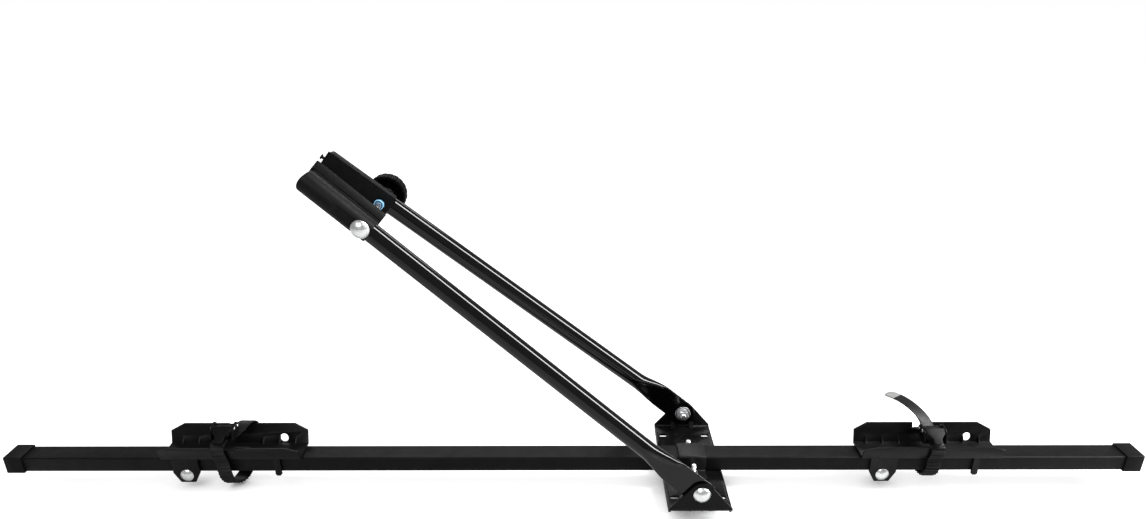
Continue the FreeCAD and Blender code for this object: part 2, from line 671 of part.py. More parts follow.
def make_arm(label, side):
    flat_end = v(D.flat_length)
    neck_end = flat_end + v(D.neck_length)
    half_width, half_thick = v(D.flat_width) / 2, v(D.flat_thick) / 2
    radius = v(D.arm_tube) / 2
    lean = math.tan(math.radians(v(D.arm_converge)))
    pivot_y = side * v(arm_pivot_y)
    blade = Part.makeBox(flat_end, half_thick * 2, half_width * 2,
                         Vec(-flat_end, pivot_y - half_thick, -half_width))
    tip = Part.makeCylinder(half_width, half_thick * 2, Vec(0, pivot_y - half_thick, 0),
                            Vec(0, 1, 0))
    sections = []
    for share in (0.0, 0.25, 0.5, 0.75, 1.0):
        along = flat_end - 1 + (neck_end + 6 - flat_end) * share
        ease = share * share * (3 - 2 * share)
        inward = -side * lean * along * ease
        sections.append(neck_section(along, pivot_y + inward,
                                     half_width - 0.1 + (radius - half_width) * ease,
                                     half_thick - 0.05 + (radius - half_thick) * ease,
                                     8 - 6 * ease))
    neck = Part.makeLoft(sections, True, False)
    tube_end = clamp_distance() + v(D.arm_past_bolt)
    tube = Part.makeCylinder(radius, tube_end - neck_end, Vec(-neck_end, 0, 0), Vec(-1, 0, 0))
    bore = Part.makeCylinder(radius - v(D.arm_wall), tube_end, Vec(-neck_end - 12, 0, 0),
                             Vec(-1, 0, 0))
    tube.Placement = arm_frame(side)
    bore.Placement = arm_frame(side)
    pivot_hole = Part.makeCylinder(v(D.large_bolt) / 2 + v(D.hole_gap), half_thick * 4,
                                   Vec(0, pivot_y - half_thick * 2, 0), Vec(0, 1, 0))
    shape = blade.fuse([tip, neck, tube]).cut([bore, pivot_hole, clamp_hole()])
    shaped(label, shape.removeSplitter(), on_arms)


def clamp_hole(diameter=None):
    radius = v(diameter or D.clamp_hole) / 2
    reach = v(D.plate_length) / 2
    return Part.makeCylinder(radius, reach * 2, Vec(-v(D.clamp_reach), -reach, 0), Vec(0, 1, 0))


# Clamp jaws: a sleeve on each arm that flares out to a hollow clamping face

def jaw_outline(side, start, depth_from, depth_to):
    # The jaw's section between two depths, at the distance start from the
    # pivot; depth is counted from the tube's axis towards the other jaw.
    sleeve = v(D.arm_tube) / 2 + v(D.sleeve_wall)
    depth, half = v(D.jaw_depth), v(D.jaw_height) / 2
    hollow = v(D.face_hollow)

    def point(inward, up):
        return Vec(-start, -side * inward, up)

    def arc(one, two, three):
        return Part.Arc(point(*one), point(*two), point(*three)).toShape()

    root = sleeve * math.sqrt(0.5)
    waist = depth * 0.62
    dip = root + (half - root) * 0.18
    edges = [
        arc((root, root), (-sleeve, 0), (root, -root)),
        arc((root, -root), (waist, -dip), (depth - 1, -half)),
        Part.LineSegment(point(depth - 1, -half), point(depth, -half)).toShape(),
        arc((depth, -half), (depth - hollow, 0), (depth, half)),
        Part.LineSegment(point(depth, half), point(depth - 1, half)).toShape(),
        arc((depth - 1, half), (waist, dip), (root, root)),
    ]
    face = Part.Face(Part.Wire(edges))
    window = Part.makeBox(2, depth_to - depth_from, half * 4,
                          Vec(-start - 1, min(-side * depth_from, -side * depth_to), -half * 2))
    return face.common(window)


def make_jaw(label, pad_label, side):
    bolt = clamp_distance()
    low = bolt - v(D.jaw_foot)
    split = v(D.jaw_depth) - v(D.pad_depth)
    sleeve = v(D.arm_tube) / 2 + v(D.sleeve_wall)
    rise = bolt + v(D.jaw_rise)
    body = jaw_outline(side, low, -sleeve * 2, split).extrude(Vec(low - rise, 0, 0)).Solids[0]
    socket = Part.makeCylinder(v(D.arm_tube) / 2 + v(D.seat_gap), rise - low,
                               Vec(-low + v(D.sleeve_wall), 0, 0), Vec(-1, 0, 0))
    facet_depth = sleeve - v(D.facet_depth)
    facet = Part.makeBox(v(D.facet_length), sleeve, sleeve * 2,
                         Vec(-low + 1 - v(D.facet_length),
                             facet_depth if side > 0 else -facet_depth - sleeve, -sleeve))
    body = body.cut([socket, facet])
    pad_shape = jaw_outline(side, low, split, v(D.jaw_depth) * 2)
    pad_shape = pad_shape.extrude(Vec(low - bolt - v(D.pad_rise), 0, 0)).Solids[0]
    placement = arm_frame(side)
    body.Placement = placement
    pad_shape.Placement = placement
    hole = clamp_hole(D.bush_diameter) if side > 0 else clamp_hole()
    outer_only = clamp_hole()
    reach = v(D.plate_length)
    if side > 0:
        # The bush's larger hole stops at the arm tube.
        near_half = Part.makeBox(reach * 4, bush_end(), reach, Vec(-reach * 4, 0, -reach / 2))
        hole = hole.common(near_half).fuse(outer_only)
    shaped(label, body.cut(hole), on_arms)
    pad_shape = pad_shape.cut(hole)
    if side > 0:
        # A small mushroom peg that holds the pad stands on its upper end.
        foot = placement.multVec(Vec(-bolt - v(D.pad_rise), -side * (split + v(D.peg_in)),
                                     v(D.peg_up)))
        stem = Part.makeCylinder(v(D.peg_stem) / 2, v(D.peg_length) + 1, foot + Vec(1, 0, 0),
                                 Vec(-1, 0, 0))
        cap = Part.makeCylinder(v(D.peg_stem), v(D.peg_length) / 2,
                                foot - Vec(v(D.peg_length) / 2, 0, 0), Vec(-1, 0, 0))
        pad_shape = pad_shape.fuse([stem, cap])
    shaped(pad_label, pad_shape, on_arms)


def tube_centre_at_bolt():
    return v(arm_pivot_y) - v(D.clamp_reach) * math.tan(math.radians(v(D.arm_converge)))


def bush_end():
    return tube_centre_at_bolt() - v(D.arm_tube) / 2 - v(D.seat_gap) * 8


def make_bush():
    hollow_face = tube_centre_at_bolt() - v(D.jaw_depth) + v(D.face_hollow)
    start = hollow_face - v(D.bush_face)
    where = Vec(-v(D.clamp_reach), start, 0)
    length = bush_end() - start
    outer = Part.makeCylinder(v(D.bush_diameter) / 2 - v(D.turn_gap), length, where, Vec(0, 1, 0))
    bore = Part.makeCylinder(v(D.clamp_hole) / 2, length, where, Vec(0, 1, 0))
    shaped("jaw_bush", outer.cut(bore), on_arms)


# Clamp bolt, washer and knob behind the back arm

sleeve_back = Size(tube_centre_at_bolt(), "({0} - {1} * tan({2} * 1 deg))".format(
    arm_pivot_y.text, D.clamp_reach.text, D.arm_converge.text)) + D.arm_tube / 2 + D.sleeve_wall
knob_washer_y = sleeve_back + D.rock_gap
knob_y = knob_washer_y + D.washer_thick + D.seat_gap


def make_clamp_bolt():
    head_seat = -sleeve_back - D.rock_gap
    end = knob_y + D.knob_height - 1
    shank = solid("Part::Cylinder", "clamp_bolt_shank", x=-D.clamp_reach, y=end,
                  axis=(1, 0, 0), angle=90, Radius=D.large_bolt / 2,
                  Height=end - head_seat + D.large_head_height / 4)
    dome, drop = domed_head("clamp_bolt_dome", D.large_head, D.large_head_height)
    place(dome, x=-D.clamp_reach, y=head_seat + drop, axis=(1, 0, 0), angle=90)
    on_arms(finish(boolean("Part::MultiFuse", "clamp_bolt", dome, shank), "clamp_bolt"))


def make_knob():
    body = new_body("knob")
    half = D.knob_diameter / 2
    bore = D.large_bolt / 2 + D.turn_gap * 2
    nut_room = D.large_nut / math.sqrt(3) + D.seat_gap
    profile = sketch_on(body, "knob_profile", "XY_Plane", (-D.clamp_reach, knob_y, 0))
    polygon(profile, [(bore, 0), (D.knob_hub / 2, 0), (D.knob_hub / 2, D.knob_hollow),
                      (half - D.knob_rim, D.knob_hollow), (half - D.knob_rim, 1.5),
                      (half, 1.5), (half, D.knob_height - 3),
                      (half - 3, D.knob_height), (nut_room, D.knob_height),
                      (nut_room, D.knob_height - D.large_nut_height),
                      (bore, D.knob_height - D.large_nut_height)])
    turned = body.newObject("PartDesign::Revolution", "knob_turned")
    turned.Profile = profile
    turned.ReferenceAxis = (profile, ["V_Axis"])
    turned.Angle = 360
    ring = sketch_on(body, "flute_outline", "XZ_Plane", (-D.clamp_reach, 0, 0))
    circle(ring, 0, half + D.flute_radius * 0.45, D.flute_radius)
    flute = pocket(body, ring, "grip_flute", (knob_y + D.knob_height) * 2 + 2, both_ways=True)
    doc.recompute()
    pattern = body.newObject("PartDesign::PolarPattern", "grip_flutes")
    pattern.Originals = [flute]
    pattern.Axis = (ring, ["N_Axis"])
    pattern.Angle = 360
    bind(pattern, "Occurrences", D.knob_flutes)
    body.Tip = pattern
    on_arms(body)


def make_knob_nut():
    # Hexagon nut moulded into the knob's outer end.
    y = knob_y + D.knob_height
    block = solid("Part::Prism", "knob_nut_block", x=-D.clamp_reach, y=y, axis=(1, 0, 0), angle=90,
                  Polygon=6, Circumradius=D.large_nut / math.sqrt(3),
                  Height=D.large_nut_height - D.seat_gap)
    hole = solid("Part::Cylinder", "knob_nut_bore", x=-D.clamp_reach, y=y + 1, axis=(1, 0, 0),
                 angle=90, Radius=D.large_bolt / 2 + D.turn_gap, Height=D.large_nut_height + 2)
    on_arms(finish(boolean("Part::Cut", "knob_nut", block, hole), "knob_nut"))


# Wheel trays

def make_tray(label, centre):
    body = new_body(label)
    inside = D.tray_inside / 2
    flare = D.tray_flare
    section = sketch_on(body, label + "_section", "YZ_Plane")
    base = inside + D.tray_wall - flare * D.tray_floor
    front, back = D.tray_front, D.tray_back
    polygon(section, [(-base, floor_base), (-inside - D.tray_wall - flare * front, floor_top + front),
                      (-inside - flare * front, floor_top + front), (-inside, floor_top),
                      (inside, floor_top), (inside + flare * back, floor_top + back),
                      (inside + D.tray_wall + flare * back, floor_top + back),
                      (base, floor_base)])
    channel = pad(body, section, label + "_channel", D.tray_length, both_ways=True)
    for name, reverse, top, drop, notch, shift in (
            ("back", False, floor_top + back, D.back_corner_drop, D.back_notch, D.notch_shift),
            ("front", True, floor_top + front, D.front_corner_drop, D.front_notch,
             as_size(0) - D.notch_shift * 0.5)):
        trim = sketch_on(body, f"{label}_{name}_trim_outline", "XZ_Plane")
        for side in (-1, 1):
            end = D.tray_length / 2
            polygon(trim, [((end - D.corner_run) * side, top), (end * side, top - drop),
                           ((end + 2) * side, top - drop), ((end + 2) * side, top + 2),
                           ((end - D.corner_run) * side, top + 2)])
        left, right = shift - D.notch_width / 2, shift + D.notch_width / 2
        polygon(trim, [(left, top - notch), (right, top - notch), (right, top + 2), (left, top + 2)])
        pocket(body, trim, f"{label}_{name}_trim", reverse=reverse)
    hole = sketch_on(body, label + "_hole_outline", "XZ_Plane")
    circle(hole, D.tab_x, floor_top + D.wall_hole / 2 + 0.5, D.wall_hole / 2)
    pocket(body, hole, label + "_wall_hole")
    for name, plane_y in (("front", lug_inside), ("back", -lug_outside)):
        lugs = sketch_on(body, f"{label}_{name}_lug_outline", "XZ_Plane", (0, 0, plane_y))
        lug_outline(lugs)
        pad(body, lugs, f"{label}_{name}_lugs", D.lug_thick)
    for step in (-3.5, -2.5, -1.5, 1.5, 2.5, 3.5):
        rib = sketch_on(body, f"{label}_rib_outline_{int(step * 10)}", "YZ_Plane",
                        (0, 0, D.rib_pitch * step))
        polygon(rib, [(inside - D.rib_height / 2, floor_top - 1), (inside + 1, floor_top - 1),
                      (inside + flare * D.rib_height + 1, floor_top + D.rib_height),
                      (inside + flare * D.rib_height, floor_top + D.rib_height),
                      (inside - D.rib_height / 2, floor_top)])
        pad(body, rib, f"{label}_rib_{int(step * 10)}", D.rib_thick, both_ways=True)
    bolt = sketch_on(body, label + "_bolt_outline", "XZ_Plane")
    circle(bolt, D.lug_x, lug_bolt_z, D.small_bolt / 2 + D.hole_gap)
    pocket(body, bolt, label + "_bolt_holes", D.tray_inside * 4, both_ways=True)
    place(body, x=centre)


def lug_outline(sketch):
    # The bolt lug and the clip tab that reach down beside the rail.
    top = floor_base + D.tray_floor / 2
    wide, tip = D.lug_width / 2, D.lug_tip / 2
    tip_z = rail_base - D.lug_drop
    polygon(sketch, [(D.lug_x - wide, top), (D.lug_x - wide, rail_base), (D.lug_x - tip, tip_z),
                     (D.lug_x + tip, tip_z), (D.lug_x + wide, rail_base), (D.lug_x + wide, top)])
    half = D.tab_width / 2
    low = rail_base - D.tab_drop
    polygon(sketch, [(D.tab_x - half, top), (D.tab_x - half, low + half / 2),
                     (D.tab_x - half / 2, low), (D.tab_x + half / 2, low),
                     (D.tab_x + half, low + half / 2), (D.tab_x + half, top)])


def make_tray_fasteners(name, centre):
    grip = lug_outside + D.seat_gap
    nut_end = grip + D.small_nut_height + D.bolt_end
    bolt = carriage_bolt("tray_bolt_" + name, D.small_bolt, grip + nut_end, D.small_head,
                         D.small_head_height)
    place(bolt, x=centre + D.lug_x, y=-grip, z=lug_bolt_z, axis=(1, 0, 0), angle=90)
    nut = hex_nut("tray_nut_" + name, D.small_nut, D.small_nut_height, D.small_bolt)
    place(nut, x=centre + D.lug_x, y=grip, z=lug_bolt_z, axis=(1, 0, 0), angle=-90)


# Straps: a ladder strap carried round tray and rail and through its buckle

def wall_outside(height):
    # The tray's outside half width at a height above the floor's top.
    return v(D.tray_inside) / 2 + v(D.tray_wall) + v(D.tray_flare) * height


def buckle_spot(name):
    # Where the strap's middle crosses the buckle's middle, and the buckle's
    # tilt: x from the tray's middle, y and z of the part, degrees.
    front_rim = v(floor_top) + v(D.tray_front)
    if name == "right":
        return SimpleNamespace(x=0.0, y=-6.0, z=front_rim + 7.0, tilt=14.0)
    return SimpleNamespace(x=-6.0, y=-6.0, z=front_rim + 12.0, tilt=16.0)


def along_buckle(spot, distance, up=0.0):
    tilt = math.radians(spot.tilt)
    return (spot.y + distance * math.cos(tilt) - up * math.sin(tilt),
            spot.z + distance * math.sin(tilt) + up * math.cos(tilt))


def strap_route(name):
    # Points along the strap's middle from its anchor under the buckle, over
    # the back wall, under the rail, up the front and through the buckle: x
    # from the tray's middle, y, z and the yaw of the strap's width, degrees.
    thick = v(D.strap_thick)
    gap = thick / 2 + v(D.strap_gap)
    low = v(rail_base)
    floor = v(floor_top)
    back_rim = floor + v(D.tray_back)
    front_rim = floor + v(D.tray_front)
    front_notch = front_rim - v(D.front_notch)
    notch = back_rim - v(D.back_notch)
    base_side = wall_outside(-v(D.tray_floor)) + gap
    back_side = wall_outside(v(D.tray_back)) + gap
    front_side = wall_outside(v(D.tray_front) - v(D.front_notch)) + gap
    spot = buckle_spot(name)
    under = -gap - v(D.buckle_floor) - gap
    reach = v(D.buckle_length) / 2 + 1
    anchor = along_buckle(spot, 1, under - 1.2)
    anchor_end = along_buckle(spot, reach * 0.8, under - 1.6)
    enter = along_buckle(spot, -reach)
    leave = along_buckle(spot, reach, 0.3)
    if name == "right":
        loop = low - v(D.right_loop_drop) + gap
        return [
            (-2, *anchor, 0), (-3, *anchor_end, 0), (-3, 22.5, notch + gap + 1.8, 0),
            (-3, back_side, notch - 5, 0), (-2.5, base_side + 2.5, floor - 2, 0),
            (-2, base_side, low + 4, 0), (-1, 11, loop + 2.2, 0), (0, 0, loop, 0),
            (1, -11, loop + 2.2, 0), (2, -base_side, low + 4, 0),
            (2, -base_side - 1.5, floor - 2, 0), (2, -front_side - 0.8, front_notch - 4, 0),
            (2, -front_side + 0.8, front_notch + 3.0, 0), (0.5, *enter, 0),
            (0, spot.y, spot.z, 0), (-0.5, *leave, 8),
            (-3, 16, front_rim + 17, 25), (-13, 29, front_rim + 27, 37),
            (-25, 44, front_rim + 32, 38), (-38, 61, front_rim + 31, 38)]
    loop = low - v(D.left_loop_drop) + gap
    over = back_rim + gap
    return [
        (-1, *anchor, 0), (4, *anchor_end, 0), (13, 25, over + 2.4, 0),
        (14, back_side + 3.8, over - 8, 0), (11, base_side + 4, floor - 4, 0),
        (8, base_side + 1, low - 2, 0), (3, 12, loop + 4.5, 0), (-2, 0, loop, 0),
        (-6, -13, loop + 5.5, 0), (-8, -base_side - 1, low - 1, 0),
        (-9.5, -base_side - 2, floor - 4, 0), (-10.5, -front_side - 1.2, front_notch - 3, 0),
        (-10, -front_side + 0.5, front_rim + 4, 0), (-8, *enter, 0),
        (spot.x, spot.y, spot.z, 0), (-3, *leave, 0)]


def strap_stations(route):
    # Frames along a smooth curve through the route: place, along, across, up.
    curve = Part.BSplineCurve()
    curve.interpolate([Vec(x, y, z) for x, y, z, yaw in route])
    knots = [curve.parameter(Vec(x, y, z)) for x, y, z, yaw in route]
    length = curve.length()
    pitch = v(D.tooth_pitch)

    def frame(distance):
        at = curve.parameterAtDistance(distance, curve.FirstParameter)
        along = curve.tangent(at)[0]
        yaw = route[-1][3]
        for (one, two, start, end) in zip(knots, knots[1:], route, route[1:]):
            if one <= at <= two:
                yaw = start[3] + (end[3] - start[3]) * (at - one) / (two - one)
                break
        across = Vec(math.cos(math.radians(yaw)), math.sin(math.radians(yaw)), 0)
        across = (across - along * across.dot(along)).normalize()
        return curve.value(at), along, across, along.cross(across)

    return frame, length, knots, curve, pitch


def make_strap(name, centre):
    route = strap_route(name)
    frame, length, knots, curve, pitch = strap_stations(route)
    start = curve.length(curve.FirstParameter, knots[6])
    end = curve.length(curve.FirstParameter, knots[13])
    half, thick, tooth = v(D.strap_width) / 2, v(D.strap_thick) / 2, v(D.tooth_height)
    steps = [(0.0, 0.0)]
    distance = pitch
    while distance < length - pitch / 2:
        if start < distance < end:
            # Each tooth rises steeply on one side and slopes off on the other.
            steps += [(distance - 1.8, 0.0), (distance - 1.3, tooth), (distance + 1.6, 0.0)]
        else:
            steps.append((distance, 0.0))
        distance += pitch
    steps.append((length, 0.0))
    wires = []
    for distance, height in steps:
        origin, along, across, up = frame(min(distance, length))
        outward = -up
        corners = [origin + across * half - outward * thick,
                   origin + across * half + outward * (thick + height),
                   origin - across * half + outward * (thick + height),
                   origin - across * half - outward * thick]
        wires.append(Part.makePolygon(corners + corners[:1]))
    shape = Part.makeLoft(wires, True, True)
    shaped("strap_" + name, shape, lambda thing: place(thing, x=centre))


# Buckles: a channel with two cheeks, its pins and a lever

def put_on_tray(shape, spot):
    turn = FreeCAD.Rotation(Vec(1, 0, 0), spot.tilt)
    move = FreeCAD.Placement(Vec(spot.x, spot.y, spot.z), turn)
    return shape.transformed(move.toMatrix(), True)


def make_buckle(name, centre):
    # Drawn round the strap's middle: Y along the strap, Z away from the tray.
    spot = buckle_spot(name)
    half = v(D.buckle_width) / 2
    front, back = -v(D.buckle_length) / 2, v(D.buckle_length) / 2
    floor = v(D.buckle_floor)
    low = -v(D.strap_thick) / 2 - v(D.strap_gap) - floor
    high = low + v(D.cheek_height)
    cheek = v(D.cheek_thick)
    pin = v(D.buckle_pin) / 2
    hub = pin + v(D.hub_wall)
    pin_inset = high - hub * 0.8
    pin_places = ((-1.0, pin_inset), (back - hub, low + floor + v(D.strap_thick) + hub))
    shapes = [Part.makeBox(half * 2, back - front, floor, Vec(-half, front, low))]
    for side in (-1, 1):
        corners = [(front, low), (back, low), (back, low + v(D.cheek_height) * 0.66),
                   (back - hub, high), (front * 0.5, high), (front, low + v(D.cheek_height) * 0.4)]
        outline = [Vec(0, y, z) for y, z in corners]
        plate = Part.Face(Part.makePolygon(outline + outline[:1])).extrude(Vec(cheek, 0, 0))
        plate.translate(Vec(half - cheek if side > 0 else -half, 0, 0))
        shapes.append(plate)
    holes = []
    pins = []
    for y, z in pin_places:
        pins.append(Part.makeCylinder(pin, half * 2 + 1.6, Vec(-half - 0.8, y, z), Vec(1, 0, 0)))
        holes.append(Part.makeCylinder(pin + v(D.turn_gap), half * 4, Vec(-half * 2, y, z),
                                       Vec(1, 0, 0)))
    channel = shapes[0].fuse(shapes[1:]).removeSplitter().cut(holes)
    lever = lever_shape(Vec(0, *pin_places[0]), hub, half - cheek - v(D.lever_gap), spot.tilt)

    def on_tray(thing):
        place(thing, x=centre)

    shaped("buckle_frame_" + name, put_on_tray(channel, spot), on_tray)
    shaped("buckle_pins_" + name, put_on_tray(Part.makeCompound(pins), spot), on_tray)
    shaped("buckle_lever_" + name, put_on_tray(lever, spot), on_tray)
    y, z = along_buckle(spot, *pin_places[0])
    print(f"{name} lever pin at x {spot.x + v(centre):.3f}, y {y:.3f}, z {z:.3f}")


def lever_shape(pin, hub, half, tilt):
    # Hub on the pin and a plate that slopes down over the strap in front.
    thick = v(D.lever_thick)
    slope = math.radians(v(D.lever_slope) - tilt)
    long = v(D.lever_length)
    forward = Vec(0, -math.cos(slope), -math.sin(slope))
    normal = Vec(0, -math.sin(slope), math.cos(slope))
    top = pin + normal * hub
    corners = [top - forward, top + forward * (long - 3), top + forward * long - normal * 1.2,
               top + forward * (long - 0.5) - normal * (thick + 1.2),
               top + forward * (long - 3.5) - normal * thick,
               top + forward * 2 - normal * thick, top - forward - normal * thick]
    plate = Part.Face(Part.makePolygon(corners + corners[:1])).extrude(Vec(half * 2, 0, 0))
    plate.translate(Vec(-half, 0, 0))
    # Seen along its normal the plate narrows to a rounded end.
    tip = v(D.lever_tip) / 2
    start = pin - forward * 2 - normal * hub * 4
    side = Vec(1, 0, 0)
    near_end = long - 4
    right, left = start + side * half, start - side * half
    outline = Part.Wire([
        Part.makeLine(left, right),
        Part.makeLine(right, right + forward * 7),
        Part.makeLine(right + forward * 7, start + side * tip + forward * near_end),
        Part.Arc(start + side * tip + forward * near_end, start + forward * (long + 2),
                 start - side * tip + forward * near_end).toShape(),
        Part.makeLine(start - side * tip + forward * near_end, left + forward * 7),
        Part.makeLine(left + forward * 7, left)])
    plate = plate.common(Part.Face(outline).extrude(normal * hub * 8))
    barrel = Part.makeCylinder(hub, half * 2, pin - Vec(half, 0, 0), Vec(1, 0, 0))
    bore = Part.makeCylinder(v(D.buckle_pin) / 2 + v(D.turn_gap), half * 4,
                             pin - Vec(half * 2, 0, 0), Vec(1, 0, 0))
    return plate.fuse(barrel).cut(bore).removeSplitter()


make_rail()
make_cap("end_cap_left", -1)
make_cap("end_cap_right", 1)
make_base_plate()
make_saddle()
make_saddle_fasteners()
make_pivot_fasteners()
make_arm("front_arm", -1)
make_arm("back_arm", 1)
make_jaw("front_jaw", "front_pad", -1)
make_jaw("back_jaw", "back_pad", 1)
make_bush()
make_clamp_bolt()
on_arms(washer("knob_washer", D.large_washer, D.large_bolt + D.turn_gap * 2, D.washer_thick,
               y=knob_washer_y, x=-D.clamp_reach))
make_knob()
make_knob_nut()
for side_name, middle in (("left", D.tray_left_x), ("right", D.tray_right_x)):
    make_tray("tray_" + side_name, middle)
    make_tray_fasteners(side_name, middle)
    make_strap(side_name, middle)
    make_buckle(side_name, middle)

doc.recompute()
for thing in doc.Objects:
    broken = [state for state in thing.State if state in ("Invalid", "Error")]
    if broken:
        raise RuntimeError(f"{thing.Name} failed: {broken}")
os.makedirs("parts", exist_ok=True)
for thing in parts:
    shape = thing.Shape
    if shape.isNull() or not shape.isValid():
        raise RuntimeError(f"{thing.Label} has no valid shape")
    shape.exportStep(f"parts/{thing.Label}.step")
print(len(parts), "pieces written")
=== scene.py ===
import json
import math

import bmesh
import bpy
import numpy as np
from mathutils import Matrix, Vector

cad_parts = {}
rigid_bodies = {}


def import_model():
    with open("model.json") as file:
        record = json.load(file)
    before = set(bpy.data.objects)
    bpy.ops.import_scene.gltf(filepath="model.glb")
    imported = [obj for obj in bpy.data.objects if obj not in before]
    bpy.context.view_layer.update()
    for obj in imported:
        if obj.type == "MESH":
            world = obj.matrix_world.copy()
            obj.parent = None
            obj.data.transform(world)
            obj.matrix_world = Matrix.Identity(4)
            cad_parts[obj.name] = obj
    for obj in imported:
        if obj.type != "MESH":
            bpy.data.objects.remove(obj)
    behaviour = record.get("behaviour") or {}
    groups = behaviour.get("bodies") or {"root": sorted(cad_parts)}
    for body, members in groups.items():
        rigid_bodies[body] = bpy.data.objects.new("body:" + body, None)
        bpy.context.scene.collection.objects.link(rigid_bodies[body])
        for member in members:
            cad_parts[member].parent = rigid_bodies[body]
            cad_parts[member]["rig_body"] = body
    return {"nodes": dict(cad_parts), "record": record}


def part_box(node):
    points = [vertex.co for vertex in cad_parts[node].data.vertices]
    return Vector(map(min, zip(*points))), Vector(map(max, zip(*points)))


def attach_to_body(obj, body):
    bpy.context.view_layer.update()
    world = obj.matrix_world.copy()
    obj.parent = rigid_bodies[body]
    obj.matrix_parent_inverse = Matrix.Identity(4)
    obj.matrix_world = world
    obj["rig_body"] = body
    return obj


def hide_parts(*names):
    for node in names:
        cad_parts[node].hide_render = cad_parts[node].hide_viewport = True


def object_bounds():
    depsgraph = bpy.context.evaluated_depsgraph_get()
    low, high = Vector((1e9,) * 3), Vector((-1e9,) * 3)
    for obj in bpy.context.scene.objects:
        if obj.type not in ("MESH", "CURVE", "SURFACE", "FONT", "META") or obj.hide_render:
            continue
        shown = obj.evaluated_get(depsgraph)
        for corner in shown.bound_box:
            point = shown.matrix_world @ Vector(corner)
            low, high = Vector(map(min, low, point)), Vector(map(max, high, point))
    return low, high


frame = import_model()
cadBox = [list(corner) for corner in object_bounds()]
nodes = frame["nodes"]
packedParts = {part["node"]: part for part in frame["record"]["subparts"]}
print("frame loaded:", len(nodes), "pieces")

# Stage: a white floor that keeps the shadow, and plain lamps

stage = {
    "floorSize": 60.0,
    "floorGap": 0.004,         # below the lowest strap
    "floorTone": 0.55,
    "floorLift": 0.82,         # added for the camera, so that the floor reads as white paper
    "floorGlossShare": 0.08,   # of the lift that mirrors see
    "coverReach": 0.08,        # how far up the floor looks for something above it
    "coverRange": (0.14, 0.56),  # open share at which the lift starts, and is whole
    "coverSamples": 6,
    "worldLevel": 0.40,
    "lamps": [
        # name, place, size across and up, power, aimed at
        ("stripLamp", (2.0, -0.16, 1.97), (0.62, 2.8), 165.0, (-0.2, 0.0, 0.2)),
        ("frontLamp", (-0.9, -1.7, 1.9), (1.4, 0.8), 22.0, (-0.1, 0.0, 0.1)),
        ("backLamp", (-0.3, 1.7, 1.5), (2.6, 0.25), 16.0, (-0.1, 0.0, 0.1)),
    ],
}

cameraSet = {
    "place": (-0.1511, -0.9150, 0.6052),
    "pitchDown": 24.8582,      # this and the roll in degrees
    "roll": 0.10,
    "focalPixels": 835.0,
    "imageWidth": 1146.0,
    "sensorWidth": 36.0,
    "shiftY": 0.07,            # the frame's middle above the lens's own, by the width
    "clip": (0.05, 120.0),
}


def buildCamera():
    data = bpy.data.cameras.new("photoCamera")
    data.sensor_width = cameraSet["sensorWidth"]
    data.lens = cameraSet["focalPixels"] / cameraSet["imageWidth"] * cameraSet["sensorWidth"]
    data.shift_y = cameraSet["shiftY"]
    data.clip_start, data.clip_end = cameraSet["clip"]
    camera = bpy.data.objects.new("photoCamera", data)
    camera.location = cameraSet["place"]
    camera.rotation_euler = (math.radians(90.0 - cameraSet["pitchDown"]),
                             math.radians(cameraSet["roll"]), 0.0)
    bpy.context.scene.collection.objects.link(camera)
    bpy.context.scene.camera = camera


def maths(tree, operation, *values):
    # A step of arithmetic in a node tree; each value is a number or another node's output.
    node = tree.nodes.new("ShaderNodeMath")
    node.operation = operation
    for socket, value in zip(node.inputs, values):
        if isinstance(value, (int, float)):
            socket.default_value = value
        else:
            tree.links.new(value, socket)
    return node.outputs[0]


def isRay(tree, kind, *others):
    # 1 where the ray is of one of the named kinds, else 0
    path = tree.nodes.new("ShaderNodeLightPath")
    value = path.outputs[kind]
    for other in others:
        value = maths(tree, "MAXIMUM", value, path.outputs[other])
    return value


def floorPaper():
    # Plain paper, lifted to white for the camera. The lift falls away where something stands
    # close above the floor, so the shadow stays.
    material = bpy.data.materials.new("floorPaper")
    material.use_nodes = True
    tree = material.node_tree
    tree.nodes.clear()
    paper = tree.nodes.new("ShaderNodeBsdfDiffuse")
    tone = stage["floorTone"]
    paper.inputs["Color"].default_value = (tone, tone, tone, 1)
    cover = tree.nodes.new("ShaderNodeAmbientOcclusion")
    cover.samples = stage["coverSamples"]
    cover.inputs["Distance"].default_value = stage["coverReach"]
    clear = tree.nodes.new("ShaderNodeMapRange")
    clear.interpolation_type = "SMOOTHSTEP"
    clear.inputs["From Min"].default_value = stage["coverRange"][0]
    clear.inputs["From Max"].default_value = stage["coverRange"][1]
    tree.links.new(cover.outputs["AO"], clear.inputs["Value"])
    direct = isRay(tree, "Is Camera Ray", "Is Transmission Ray")
    mirrored = isRay(tree, "Is Glossy Ray")
    seen = maths(tree, "MULTIPLY_ADD", mirrored, stage["floorGlossShare"], direct)
    strength = maths(tree, "MULTIPLY", maths(tree, "MULTIPLY", seen, stage["floorLift"]),
                     clear.outputs["Result"])
    lift = tree.nodes.new("ShaderNodeEmission")
    tree.links.new(strength, lift.inputs["Strength"])
    both = tree.nodes.new("ShaderNodeAddShader")
    tree.links.new(paper.outputs[0], both.inputs[0])
    tree.links.new(lift.outputs[0], both.inputs[1])
    output = tree.nodes.new("ShaderNodeOutputMaterial")
    tree.links.new(both.outputs[0], output.inputs["Surface"])
    return material


